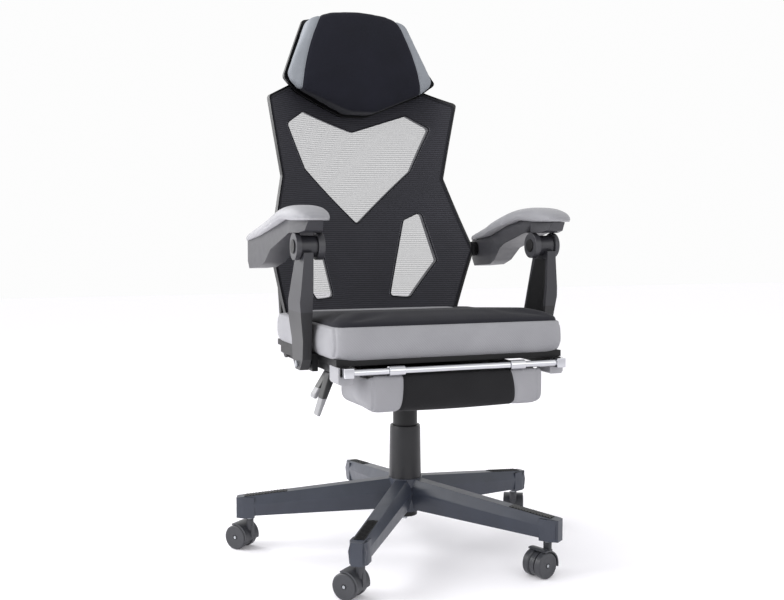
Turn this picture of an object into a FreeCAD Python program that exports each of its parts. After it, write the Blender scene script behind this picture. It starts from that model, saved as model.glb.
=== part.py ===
import FreeCAD, Part
import os
import re

import Sketcher

# Gaming chair: star base on casters, gas column, seat with a slide-out footrest, reclining mesh back.
# Millimetres. +Z is up, -Y is the front, +X is the viewer's right from the front.
# The origin is on the column's axis, on the floor.

SIZES = {
    # star base
    "arm_count": 5, "arm_step": 72, "first_arm": 18, "star_radius": 320,
    "arm_inner_reach": 26, "arm_outer_reach": 342,
    "inner_bottom_half": 15, "inner_bottom": 84, "inner_side_half": 24, "inner_side": 122,
    "inner_top_half": 12, "inner_top": 146,
    "outer_bottom_half": 14, "outer_bottom": 70, "outer_side_half": 16.5, "outer_side": 92,
    "outer_top_half": 12, "outer_top": 109,
    "hub_radius": 35, "hub_bottom": 80, "hub_top": 147,
    "tip_bottom": 67, "tip_top": 109, "tip_back": 309, "tip_face": 331, "tip_nose": 346,
    "tip_half": 17, "nose_half": 10.5, "stem_hole_depth": 34,
    "insert_start": 243, "insert_end": 330, "insert_width": 20, "insert_depth": 3, "insert_proud": 1,
    # gas column
    "tube_radius": 25, "tube_bore": 22.5, "tube_bottom": 68, "tube_top": 300, "tube_floor": 4,
    "guide_bottom": 225, "running_gap": 0.08, "fit_gap": 0.05,
    "rod_radius": 5, "rod_bottom": 59, "clip_radius": 8, "clip_bottom": 63, "clip_top": 67.7,
    "collar_radius": 12, "collar_bottom": 80.2, "collar_top": 84,
    "piston_radius": 12.9, "piston_bottom": 250, "piston_top": 262,
    "bearing_bottom": 72.3, "bearing_top": 80,
    "cylinder_radius": 14, "cylinder_bore": 13, "cylinder_bottom": 125, "cylinder_top": 385,
    "cylinder_floor": 10, "cylinder_roof": 372,
    "sleeve_bore": 26, "sleeve_low_radius": 33, "sleeve_high_radius": 31.5, "sleeve_lip": 2.5,
    "sleeve_bottom": 147, "sleeve_top": 255, "upper_sleeve_bottom": 292, "upper_sleeve_top": 344,
    "upper_sleeve_radius": 30,
    "button_radius": 4, "button_bottom": 374, "button_top": 392,
    # casters
    "wheel_radius": 25, "wheel_trail": 22, "wheel_inner": 7, "wheel_outer": 22.5, "wheel_crown": 2.5,
    "axle_radius": 3, "axle_half": 22, "stem_radius": 5.5, "stem_bottom": 40, "stem_top": 100,
    "neck_radius": 8, "neck_top": 62, "web_radius": 23, "web_thickness": 11,
    "hood_inner": 26.2, "hood_outer": 29, "hood_width": 44, "fender_lead": 14,
    "fender_rise": 50, "fender_back": 60, "fender_drop": 12,
    # seat
    "pan_half": 225, "pan_front": -238, "pan_back": 165, "pan_bottom": 413, "pan_top": 425,
    "lug_inner": 225, "lug_outer": 236, "lug_front": -128, "lug_back": -82, "lug_bottom": 392,
    "cushion_half": 238, "cushion_front": -250, "cushion_back": 170, "cushion_top": 496,
    "cushion_corner": 30, "cushion_edge": 16,
    "housing_half": 85, "housing_front": -78, "housing_back": 95, "housing_bottom": 362,
    "housing_top": 409, "housing_wall": 3, "flange_half": 130, "flange_front": -110, "flange_back": 150,
    "socket_radius": 21, "socket_bottom": 345, "socket_top": 380,
    "bolt_radius": 5, "bolt_x": 110, "bolt_front": -95, "bolt_back": 135, "bolt_head": 4,
    "rail_middle": 210, "rail_width": 20, "rail_bottom": 397, "rail_front": -236, "rail_back": 160,
    "rail_wall": 3, "slide_gap": 0.3, "tube_front": -249, "slide_back": 128,
    # levers
    "lever_radius": 4, "height_lever_y": -20, "recline_lever_y": -60, "lever_height": 377,
    "lever_inner": -24, "rocker_x": -30, "rocker_radius": 3, "rocker_gap": 0.3, "rocker_boss": 6.5,
    "rocker_boss_half": 6, "rocker_end": -8, "rocker_bracket": 4, "lever_slot_low": 372, "lever_slot_high": 390, "lever_slot_half": 5,
    "height_root": -158, "height_tip": -206, "height_tip_z": 326,
    "recline_root": -170, "recline_tip": -211, "recline_tip_z": 298,
    "paddle_thickness": 7, "paddle_half": 14, "finger_bottom": 392.7, "finger_top": 399, "finger_step": 8,
    # footrest
    "bar_y": -258, "bar_z": 404, "bar_radius": 6, "block_inner": 201, "block_outer": 219, "block_half": 9,
    "pad_hinge_x": 120, "pad_hinge_radius": 9, "pad_hinge_half": 15,
    "board_half": 162, "board_front": -244, "board_back": -97, "board_bottom": 390, "board_top": 398,
    "footpad_half": 171, "footpad_front": -256, "footpad_back": -86, "footpad_bottom": 327,
    "footpad_round": 18,
    # recline hinge and the parallel armrest linkage
    "recline_y": 195, "recline_z": 395, "post_foot_y": -105, "post_foot_z": 405,
    "crank_y": -23, "crank_z": 218,
    "hinge_pin_radius": 6, "hinge_plate": 6, "fixed_plate_x": 191, "moving_plate_x": 198.5,
    "hinge_eye": 15,
    # armrests
    "post_middle": 252, "post_inner": 241, "post_outer_top": 258, "post_outer_knee": 266,
    "knee_z": 522, "post_top_z": 612,
    "barrel_radius": 20, "barrel_inner": 230, "barrel_outer": 261, "open_pivot_gap": 0.4,
    "disc_radius": 25, "inner_disc_inner": 217, "inner_disc_outer": 229.4,
    "outer_disc_inner": 261.6, "outer_disc_outer": 271,
    "nose_taper": 75, "nose_full": 45, "pad_nose_half": 16, "shell_nose_half": 10, "nose_middle": 247,
    "pivot_cap_radius": 13, "pivot_cap": 2.5,
    "shell_inner_front": 217, "shell_inner_back": 242.5, "shell_outer_front": 273, "shell_outer_back": 282,
    "pad_inner_front": 205, "pad_inner_back": 240.5, "pad_outer": 287, "pad_tip_y": -205,
    "pad_back_y": 192,
    "arm_pin_radius": 7, "arm_pin_end": 262, "arm_boss_radius": 16, "arm_boss_inner": 231,
    "arm_boss_outer": 241.5,
    # back
    "shell_radius": 283, "shell_thickness": 14, "mesh_gap": 0.3, "mesh_thickness": 1.2,
    "shell_axis_y": -27.8, "shell_axis_z": 400, "shell_height": 800, "back_tilt": 9,
    "back_bottom": 440, "bottom_half": 193, "hip_z": 611, "hip_half": 235, "waist_z": 774,
    "waist_half": 192, "shoulder_z": 946, "shoulder_half": 222, "crown_z": 985, "crown_half": 150,
    "mesh_inset": 5, "corner_radius": 10,
    "heart_notch_z": 883, "heart_lobe_x": 125, "heart_lobe_z": 924, "heart_side_x": 172,
    "heart_side_z": 892, "heart_bend_x": 128, "heart_bend_z": 792, "heart_point_z": 668,
    "slot_top_in_x": 107, "slot_top_in_z": 679, "slot_top_x": 145, "slot_top_z": 699,
    "slot_side_x": 171, "slot_side_z": 585, "slot_low_out_x": 113, "slot_low_out_z": 500,
    "slot_low_in_x": 68, "slot_low_in_z": 503,
    # headrest
    "head_gap": 1.5, "head_shell": 12, "head_top_z": 1148, "head_top_half": 60, "head_corner_z": 1131,
    "head_corner_half": 119, "head_wide_z": 992, "head_wide_half": 182, "head_low_z": 963,
    "head_low_half": 146, "head_point_z": 916, "head_point_half": 30, "head_front_y": 185,
    "head_border": 7,
}

# Where each wheel unit happens to point: the trail's direction, in degrees, by arm.
TRAIL_ANGLES = {"right_back": 60, "back": 110, "left": 131, "front": 130, "right": 198}

doc = FreeCAD.newDocument("gaming_chair")
sheet = doc.addObject("Spreadsheet::Sheet", "Sizes")
for row, (size_name, size_value) in enumerate(SIZES.items(), start=1):
    sheet.set(f"A{row}", size_name)
    sheet.set(f"B{row}", str(size_value))
    sheet.setAlias(f"B{row}", size_name)
doc.recompute()

nodes = []


def from_sheet(formula):
    """Turn the size names in a formula into references to the sheet."""
    return re.sub(r"[a-z_]+[a-z0-9_]*", lambda m: f"Sizes.{m[0]}" if m[0] in SIZES else m[0], str(formula))


def bind(item, prop, formula):
    item.setExpression(prop, from_sheet(formula))


def place(item, x=0, y=0, z=0, turn=None, axis=(0, 0, 1)):
    """Bind an object's position and, if turn is given, its rotation about axis."""
    if turn is not None:
        item.Placement = FreeCAD.Placement(FreeCAD.Vector(), FreeCAD.Rotation(FreeCAD.Vector(*axis), 10))
        bind(item, "Placement.Rotation.Angle", turn)
    for prop, formula in (("x", x), ("y", y), ("z", z)):
        bind(item, f"Placement.Base.{prop}", formula)
    return item


def node(item, name):
    """Mark a finished piece for writing, under its own name."""
    item.Label = name
    nodes.append(item)
    return item


# ---- sketched bodies -------------------------------------------------------------------------------

def body(name):
    return doc.addObject("PartDesign::Body", name)


def sketch_on(owner, role, offset=None):
    sketch = owner.newObject("Sketcher::SketchObject", f"{owner.Name}_sketch")
    plane = next(item for item in owner.Origin.OriginFeatures if item.Role == role)
    sketch.AttachmentSupport = [(plane, "")]
    sketch.MapMode = "FlatFace"
    if offset is not None:
        bind(sketch, "AttachmentOffset.Base.z", offset)
    return sketch


def polygon(owner, role, *loops, offset=None):
    """Sketch closed outlines whose corners are bound to the sheet."""
    sketch = sketch_on(owner, role, offset)
    for loop in loops:
        first = sketch.GeometryCount
        count = len(loop)
        for i in range(count):
            start = FreeCAD.Vector(i, i * i + 1, 0)
            end = FreeCAD.Vector(i + 1, (i + 1) ** 2 + 1, 0)
            sketch.addGeometry(Part.LineSegment(start, end))
        for i in range(count):
            sketch.addConstraint(Sketcher.Constraint("Coincident", first + i, 2, first + (i + 1) % count, 1))
        for i, corner in enumerate(loop):
            for kind, formula in zip(("DistanceX", "DistanceY"), corner):
                index = sketch.addConstraint(Sketcher.Constraint(kind, -1, 1, first + i, 1, 1.0))
                bind(sketch, f"Constraints[{index}]", formula)
    return sketch


def circle(owner, role, x, y, radius, offset=None):
    sketch = sketch_on(owner, role, offset)
    sketch.addGeometry(Part.Circle(FreeCAD.Vector(1, 1, 0), FreeCAD.Vector(0, 0, 1), 1))
    for kind, formula in (("DistanceX", x), ("DistanceY", y)):
        index = sketch.addConstraint(Sketcher.Constraint(kind, -1, 1, 0, 3, 1.0))
        bind(sketch, f"Constraints[{index}]", formula)
    index = sketch.addConstraint(Sketcher.Constraint("Radius", 0, 1.0))
    bind(sketch, f"Constraints[{index}]", radius)
    return sketch


def pad(owner, sketch, length, midplane=False, backwards=False, kind="Pad"):
    feature = owner.newObject(f"PartDesign::{kind}", f"{owner.Name}_{kind.lower()}")
    feature.Profile = sketch
    bind(feature, "Length", length)
    feature.Midplane = midplane
    feature.Reversed = backwards
    return feature


def revolve(owner, profile, plane="XZ_Plane"):
    """Turn a half profile, given as distance from the axis and place along it, into a round piece."""
    feature = owner.newObject("PartDesign::Revolution", f"{owner.Name}_turned")
    feature.Profile = polygon(owner, plane, profile)
    feature.ReferenceAxis = (feature.Profile[0], ["V_Axis"])
    feature.Angle = 360
    return feature


def around_column(owner, feature):
    """Repeat a feature at every arm of the star."""
    pattern = owner.newObject("PartDesign::PolarPattern", f"{feature.Name}_ring")
    pattern.Originals = [feature]
    axis = next(item for item in owner.Origin.OriginFeatures if item.Role == "Z_Axis")
    pattern.Axis = (axis, [""])
    pattern.Angle = 360
    bind(pattern, "Occurrences", "arm_count")
    owner.Tip = pattern
    return pattern


def straight_edges(shape, direction):
    """Names of the shape's straight edges that run along a direction."""
    names = []
    for number, edge in enumerate(shape.Edges, start=1):
        if edge.Curve.TypeId == "Part::GeomLine" and edge.Length > 1:
            along = abs(edge.tangentAt(edge.FirstParameter).dot(FreeCAD.Vector(*direction)))
            if along > 0.999:
                names.append(f"Edge{number}")
    return names


def level_edges(shape, z):
    """Names of the shape's edges that lie at one height."""
    return [f"Edge{number}" for number, edge in enumerate(shape.Edges, start=1)
            if abs(edge.BoundBox.ZMin - z) < 0.01 and abs(edge.BoundBox.ZMax - z) < 0.01]


def fillet(owner, feature, names, radius):
    rounded = owner.newObject("PartDesign::Fillet", f"{owner.Name}_fillet")
    rounded.Base = (feature, names)
    bind(rounded, "Radius", radius)
    doc.recompute()
    return rounded


# ---- primitives and booleans -----------------------------------------------------------------------

def box(x, y, z):
    """A box from three (low, high) pairs."""
    item = doc.addObject("Part::Box", "block")
    for prop, (low, high) in zip(("Length", "Width", "Height"), (x, y, z)):
        bind(item, prop, f"({high}) - ({low})")
    return place(item, x[0], y[0], z[0])


def rod(radius, start, end, y, z):
    """A round bar along X, from start to end."""
    item = doc.addObject("Part::Cylinder", "bar")
    bind(item, "Radius", radius)
    bind(item, "Height", f"({end}) - ({start})")
    return place(item, start, y, z, turn=90, axis=(0, 1, 0))



def along_y(radius, start, end, x, z):
    """A round bar along Y."""
    item = doc.addObject("Part::Cylinder", "cross_shaft")
    bind(item, "Radius", radius)
    bind(item, "Height", f"({end}) - ({start})")
    return place(item, x, end, z, turn=90, axis=(1, 0, 0))


def upright(radius, low, high, x=0, y=0):
    item = doc.addObject("Part::Cylinder", "upright")
    bind(item, "Radius", radius)
    bind(item, "Height", f"({high}) - ({low})")
    return place(item, x, y, low)


def cut(base, tool):
    item = doc.addObject("Part::Cut", "trimmed")
    item.Base = base
    item.Tool = tool
    return item


def common(base, tool):
    item = doc.addObject("Part::Common", "overlap")
    item.Base = base
    item.Tool = tool
    return item


def fuse(*pieces):
    item = doc.addObject("Part::MultiFuse", "joined")
    item.Shapes = list(pieces)
    return item


def group(*pieces):
    """Separate solids kept in one node."""
    item = doc.addObject("Part::Compound", "set")
    item.Links = list(pieces)
    return item


def side_span(side, inner, outer):
    """The (low, high) X pair of a piece that lies from inner to outer on one side of the chair."""
    if side > 0:
        return (inner, outer)
    return (f"-({outer})", f"-({inner})")


def side_plate(name, side, middle, width, *loops):
    """A plate cut from a side view (y, z), centred at a distance from the middle of the chair."""
    plate = body(name)
    pad(plate, polygon(plate, "YZ_Plane", *loops), width, midplane=True)
    return place(plate, f"{side} * ({middle})")


def plan_prism(name, side, points):
    """An upright prism over an outline (x, y), tall enough to trim an armrest."""
    prism = body(name)
    outline = [(f"{side} * ({x})", y) for x, y in points]
    pad(prism, polygon(prism, "XY_Plane", outline), "head_top_z")
    return prism


# ---- star base -------------------------------------------------------------------------------------

def arm_section(end):
    low, side, top = f"{end}_bottom", f"{end}_side", f"{end}_top"
    return [(f"-{low}_half", low), (f"{low}_half", low), (f"{side}_half", side),
            (f"{top}_half", top), (f"-{top}_half", top), (f"-{side}_half", side)]


def arm_top_at(reach, rise):
    """Height above the floor of a line that rises over an arm's sloping top face."""
    slope = "(outer_top - inner_top) / (arm_outer_reach - arm_inner_reach)"
    return f"inner_top + {slope} * ({reach} - arm_inner_reach) + ({rise})"


def insert_outline(rise):
    return [("insert_start", arm_top_at("insert_start", "-insert_depth")),
            ("insert_end", arm_top_at("insert_end", "-insert_depth")),
            ("insert_end", arm_top_at("insert_end", rise)),
            ("insert_start", arm_top_at("insert_start", rise))]


def make_star_base():
    star = body("star")
    inner = polygon(star, "YZ_Plane", arm_section("inner"), offset="arm_inner_reach")
    outer = polygon(star, "YZ_Plane", arm_section("outer"), offset="arm_outer_reach")
    arm = star.newObject("PartDesign::AdditiveLoft", "star_arm")
    arm.Profile = inner
    arm.Sections = [outer]
    arm.Ruled = True
    around_column(star, arm)
    tip = [("tip_back", "-tip_half"), ("tip_face", "-tip_half"), ("tip_nose", "-nose_half"),
           ("tip_nose", "nose_half"), ("tip_face", "tip_half"), ("tip_back", "tip_half")]
    block = pad(star, polygon(star, "XY_Plane", tip, offset="tip_bottom"), "tip_top - tip_bottom")
    around_column(star, block)
    pad(star, circle(star, "XY_Plane", 0, 0, "hub_radius", offset="hub_bottom"), "hub_top - hub_bottom")
    doc.recompute()
    solid_volume = star.Shape.Volume
    recess = pad(star, polygon(star, "XZ_Plane", insert_outline(10)), "insert_width", midplane=True, kind="Pocket")
    around_column(star, recess)
    hole = circle(star, "XY_Plane", "star_radius", 0, "stem_radius + fit_gap", offset="tip_bottom")
    around_column(star, pad(star, hole, "stem_hole_depth", backwards=True, kind="Pocket"))
    bore = circle(star, "XY_Plane", 0, 0, "tube_radius + fit_gap", offset="hub_bottom")
    pad(star, bore, "hub_top - hub_bottom", backwards=True, kind="Pocket")
    doc.recompute()
    removed = solid_volume - star.Shape.Volume
    if removed < 100000:
        raise RuntimeError(f"the star base lost only {removed:.0f} mm3 to its recesses and holes")
    place(star, turn="first_arm")
    node(star, "base_star")


def make_tread_inserts():
    inserts = body("inserts")
    outline = insert_outline("insert_proud")
    tread = pad(inserts, polygon(inserts, "XZ_Plane", outline), "insert_width", midplane=True)
    around_column(inserts, tread)
    inserts.Placement = FreeCAD.Placement()
    place(inserts, turn="first_arm")
    node(inserts, "tread_inserts")


# ---- casters ---------------------------------------------------------------------------------------

def caster_place(item, arm, angle, along=0, height=0, flip=0):
    """Put a caster piece at an arm's stem, turned to the trail's direction, and along it."""
    arm_angle = f"(first_arm + {arm} * arm_step)"
    return place(item, f"star_radius * cos({arm_angle}) + ({along}) * cos({angle})",
                 f"star_radius * sin({arm_angle}) + ({along}) * sin({angle})", height, turn=angle + flip)


def axle_disc(radius, half):
    """A round bar along Y, centred on a caster's axle."""
    item = doc.addObject("Part::Cylinder", "disc")
    bind(item, "Radius", radius)
    bind(item, "Height", f"2 * ({half})")
    return place(item, "wheel_trail", half, "wheel_radius", turn=90, axis=(1, 0, 0))


def make_caster(name, arm, angle):
    band = cut(axle_disc("hood_outer", "hood_width / 2"), axle_disc("hood_inner", "hood_width / 2 + 1"))
    keep = body(f"{name}_keep")
    wedge = [("wheel_trail", "wheel_radius"), ("wheel_trail + fender_lead", "wheel_radius + fender_rise"),
             ("wheel_trail - fender_back", "wheel_radius + fender_rise"),
             ("wheel_trail - fender_back", "wheel_radius - fender_drop")]
    pad(keep, polygon(keep, "XZ_Plane", wedge), "hood_width + 10", midplane=True)
    fender = common(band, keep)
    web = axle_disc("web_radius", "web_thickness / 2")
    neck = upright("neck_radius", "stem_bottom", "neck_top")
    bridge = box(("-neck_radius", "wheel_trail"), ("-web_thickness / 2", "web_thickness / 2"),
                 ("wheel_radius", "stem_bottom + 8"))
    hood = fuse(fender, web, neck, bridge)
    stem_hole = upright("stem_radius + fit_gap", "stem_bottom", "neck_top + 1")
    axle_hole = axle_disc("axle_radius + fit_gap", "web_thickness")
    trimmed = cut(cut(hood, stem_hole), axle_hole)
    node(caster_place(trimmed, arm, angle), f"caster_{name}_hood")

    stem = upright("stem_radius", "stem_bottom", "stem_top")
    axle = axle_disc("axle_radius", "axle_half")
    node(caster_place(group(stem, axle), arm, angle), f"caster_{name}_pins")

    for side, flip in (("left", 0), ("right", 180)):
        wheel = body(f"{name}_{side}_wheel")
        revolve(wheel, [
            ("axle_radius + fit_gap", "wheel_inner"), ("wheel_radius - wheel_crown", "wheel_inner"),
            ("wheel_radius", "wheel_inner + wheel_crown"), ("wheel_radius", "wheel_outer - wheel_crown"),
            ("wheel_radius - wheel_crown", "wheel_outer"), ("wheel_radius - 6", "wheel_outer"),
            ("wheel_radius - 9", "wheel_outer - 1.5"), ("axle_radius + 2", "wheel_outer - 1.5"),
            ("axle_radius + 2", "wheel_outer - 3"), ("axle_radius + fit_gap", "wheel_outer - 3"),
        ], plane="XY_Plane")
        node(caster_place(wheel, arm, angle, "wheel_trail", "wheel_radius", flip), f"caster_{name}_wheel_{side}")


# ---- gas column ------------------------------------------------------------------------------------

def make_column():
    tube = body("tube")
    revolve(tube, [
        ("rod_radius + running_gap", "tube_bottom"), ("tube_radius", "tube_bottom"),
        ("tube_radius", "tube_top"), ("cylinder_radius + running_gap", "tube_top"),
        ("cylinder_radius + running_gap", "guide_bottom"), ("tube_bore", "guide_bottom"),
        ("tube_bore", "tube_bottom + tube_floor"), ("rod_radius + running_gap", "tube_bottom + tube_floor"),
    ])
    node(tube, "column_tube")

    piston = body("piston")
    revolve(piston, [
        ("0", "rod_bottom"), ("rod_radius", "rod_bottom"), ("rod_radius", "clip_bottom"),
        ("clip_radius", "clip_bottom"), ("clip_radius", "clip_top"), ("rod_radius", "clip_top"),
        ("rod_radius", "collar_bottom"), ("collar_radius", "collar_bottom"),
        ("collar_radius", "collar_top"), ("rod_radius", "collar_top"), ("rod_radius", "piston_bottom"),
        ("piston_radius", "piston_bottom"), ("piston_radius", "piston_top"), ("0", "piston_top"),
    ])
    node(piston, "piston_rod")
    bearing = cut(upright("collar_radius + 2", "bearing_bottom", "bearing_top"),
                  upright("rod_radius + fit_gap", "bearing_bottom - 1", "bearing_top + 1"))
    node(bearing, "thrust_bearing")

    cylinder = body("cylinder")
    revolve(cylinder, [
        ("rod_radius + running_gap", "cylinder_bottom"), ("cylinder_radius", "cylinder_bottom"),
        ("cylinder_radius", "cylinder_top"), ("button_radius + running_gap", "cylinder_top"),
        ("button_radius + running_gap", "cylinder_roof"), ("cylinder_bore", "cylinder_roof"),
        ("cylinder_bore", "cylinder_bottom + cylinder_floor"),
        ("rod_radius + running_gap", "cylinder_bottom + cylinder_floor"),
    ])
    node(cylinder, "gas_cylinder")
    node(upright("button_radius", "button_bottom", "button_top"), "release_button")

    low_sleeve = body("low_sleeve")
    revolve(low_sleeve, [
        ("sleeve_bore", "sleeve_bottom"), ("sleeve_low_radius", "sleeve_bottom"),
        ("sleeve_high_radius", "sleeve_top - 8"), ("sleeve_high_radius - 1", "sleeve_top"),
        ("sleeve_bore", "sleeve_top"), ("sleeve_bore", "sleeve_top - sleeve_lip"),
        ("sleeve_bore + 3", "sleeve_top - 2 * sleeve_lip"), ("sleeve_bore + 3", "sleeve_bottom + sleeve_lip"),
        ("sleeve_bore", "sleeve_bottom + sleeve_lip"),
    ])
    node(low_sleeve, "lower_dust_sleeve")
    high_sleeve = cut(upright("upper_sleeve_radius", "upper_sleeve_bottom", "upper_sleeve_top"),
                      upright("sleeve_bore", "upper_sleeve_bottom - 1", "upper_sleeve_top - sleeve_lip"))
    opened = cut(high_sleeve, upright("cylinder_radius + fit_gap", "upper_sleeve_bottom", "upper_sleeve_top + 1"))
    node(opened, "upper_dust_sleeve")


# ---- seat ------------------------------------------------------------------------------------------

def rounded_block(name, x, y, z, corner, edge, top=True):
    """A cushion block with rounded upright corners and a rounded top or bottom rim."""
    block = body(name)
    outline = [(x[0], y[0]), (x[1], y[0]), (x[1], y[1]), (x[0], y[1])]
    solid = pad(block, polygon(block, "XY_Plane", outline, offset=z[0]), f"({z[1]}) - ({z[0]})")
    doc.recompute()
    corners = fillet(block, solid, straight_edges(solid.Shape, (0, 0, 1)), corner)
    box_now = corners.Shape.BoundBox
    fillet(block, corners, level_edges(corners.Shape, box_now.ZMax if top else box_now.ZMin), edge)
    return block


def make_seat():
    board = box(("-pan_half", "pan_half"), ("pan_front", "pan_back"), ("pan_bottom", "pan_top"))
    lugs = [box(side_span(side, "lug_inner", "lug_outer"), ("lug_front", "lug_back"), ("lug_bottom", "pan_top"))
            for side in (-1, 1)]
    pin_hole = rod("hinge_pin_radius + fit_gap", "-lug_outer - 1", "lug_outer + 1", "post_foot_y", "post_foot_z")
    node(cut(fuse(board, *lugs), pin_hole), "seat_pan")
    cushion = rounded_block("seat_block", ("-cushion_half", "cushion_half"), ("cushion_front", "cushion_back"),
                            ("pan_top", "cushion_top"), "cushion_corner", "cushion_edge")
    node(cushion, "seat_cushion")


def make_housing():
    flange = box(("-flange_half", "flange_half"), ("flange_front", "flange_back"), ("housing_top", "pan_bottom"))
    outside = box(("-housing_half", "housing_half"), ("housing_front", "housing_back"),
                  ("housing_bottom", "housing_top"))
    room = box(("-housing_half + housing_wall", "housing_half - housing_wall"),
               ("housing_front + housing_wall", "housing_back - housing_wall"),
               ("housing_bottom + housing_wall", "housing_top"))
    socket = upright("socket_radius", "socket_bottom", "socket_top")
    shell = fuse(flange, cut(outside, room), socket)
    shell = cut(shell, upright("cylinder_radius + fit_gap", "socket_bottom - 1", "socket_top + 1"))
    for y in ("height_lever_y", "recline_lever_y"):
        slot = box(("-housing_half - 1", "-housing_half + housing_wall + 1"),
                   (f"{y} - lever_slot_half", f"{y} + lever_slot_half"), ("lever_slot_low", "lever_slot_high"))
        shell = cut(shell, slot)
    shaft = along_y("rocker_radius", "housing_front + 1", "rocker_end", "rocker_x", "lever_height")
    bracket = box(("rocker_x - rocker_radius", "rocker_x + rocker_radius"),
                  ("rocker_end - rocker_bracket", "rocker_end"),
                  ("housing_bottom + 1", "lever_height + rocker_radius"))
    node(fuse(shell, shaft, bracket), "tilt_housing")
    heads = [upright("bolt_radius", "housing_top - bolt_head", "housing_top", f"{side} * bolt_x", y)
             for side in (-1, 1) for y in ("bolt_front", "bolt_back")]
    node(group(*heads), "housing_bolts")


def make_lever(name, y, root, tip, tip_z):
    """A lever that rocks inside the housing: its paddle rises and its inner end goes down."""
    bar = rod("lever_radius", f"{root} - 4", "lever_inner", y, "lever_height")
    if name == "height_lever":
        y_span = (f"{y} - lever_radius", f"{y} + lever_radius")
        riser = box(("lever_inner - finger_step", "lever_inner"), y_span, ("lever_height", "finger_top"))
        finger = box(("lever_inner - finger_step", "button_radius"), (y_span[0], "button_radius"),
                     ("finger_bottom", "finger_top"))
        bar = fuse(bar, riser, finger)
    boss = along_y("rocker_boss", f"{y} - rocker_boss_half", f"{y} + rocker_boss_half", "rocker_x", "lever_height")
    bore = along_y("rocker_radius + rocker_gap", f"{y} - rocker_boss_half - 1", f"{y} + rocker_boss_half + 1",
                   "rocker_x", "lever_height")
    node(cut(fuse(bar, boss), bore), f"{name}_rod")
    blade = body(f"{name}_blade")
    outline = [(f"{root} - 4", "lever_height + 6"), (f"{root} - 4", "lever_height - 8"),
               (f"{tip} + 6", f"{tip_z} - 3"), (tip, tip_z), (f"{tip} + 2", f"{tip_z} + paddle_thickness"),
               (f"{root} - 16", "lever_height + 3")]
    pad(blade, polygon(blade, "XZ_Plane", outline), "2 * paddle_half", midplane=True)
    place(blade, y=y)
    node(blade, f"{name}_paddle")


# ---- footrest --------------------------------------------------------------------------------------

def make_footrest_slides():
    rails = []
    tubes = []
    for side in (-1, 1):
        x = side_span(side, "rail_middle - rail_width / 2", "rail_middle + rail_width / 2")
        x_room = side_span(side, "rail_middle - rail_width / 2 + rail_wall",
                           "rail_middle + rail_width / 2 - rail_wall")
        x_tube = side_span(side, "rail_middle - rail_width / 2 + rail_wall + slide_gap",
                           "rail_middle + rail_width / 2 - rail_wall - slide_gap")
        rails.append(cut(box(x, ("rail_front", "rail_back"), ("rail_bottom", "pan_bottom")),
                         box(x_room, ("rail_front - 1", "rail_back + 1"),
                             ("rail_bottom + rail_wall", "pan_bottom - rail_wall"))))
        tubes.append(box(x_tube, ("tube_front", "slide_back"),
                         ("rail_bottom + rail_wall + slide_gap", "pan_bottom - rail_wall - slide_gap")))
    node(group(*rails), "footrest_rails")
    node(group(*tubes), "slide_tubes")
    node(rod("bar_radius", "-block_inner", "block_inner", "bar_y", "bar_z"), "cross_bar")
    ends = [box(side_span(side, "block_inner", "block_outer"), ("bar_y - block_half", "tube_front"),
                ("bar_z - block_half", "bar_z + block_half")) for side in (-1, 1)]
    node(group(*ends), "bar_end_blocks")


def make_footrest_pad():
    node(box(("-board_half", "board_half"), ("board_front", "board_back"), ("board_bottom", "board_top")),
         "footrest_board")
    cushion = rounded_block("footpad_block", ("-footpad_half", "footpad_half"),
                            ("footpad_front", "footpad_back"), ("footpad_bottom", "board_bottom"),
                            "footpad_round", "footpad_round", top=False)
    node(cushion, "footrest_cushion")
    hinges = []
    for side in (-1, 1):
        low, high = side_span(side, "pad_hinge_x - pad_hinge_half", "pad_hinge_x + pad_hinge_half")
        sleeve = rod("pad_hinge_radius", low, high, "bar_y", "bar_z")
        tab = box((low, high), ("bar_y", "board_front + 24"), ("board_top", "board_top + 3"))
        hinges.append(cut(fuse(sleeve, tab), rod("bar_radius + running_gap", f"{low} - 1", f"{high} + 1",
                                                 "bar_y", "bar_z")))
    node(group(*hinges), "pad_hinges")


# ---- recline hinge ---------------------------------------------------------------------------------

def hinge_eye(side, middle):
    return rod("hinge_eye", *side_span(side, f"{middle} - hinge_plate / 2", f"{middle} + hinge_plate / 2"),
               "recline_y", "recline_z")


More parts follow.
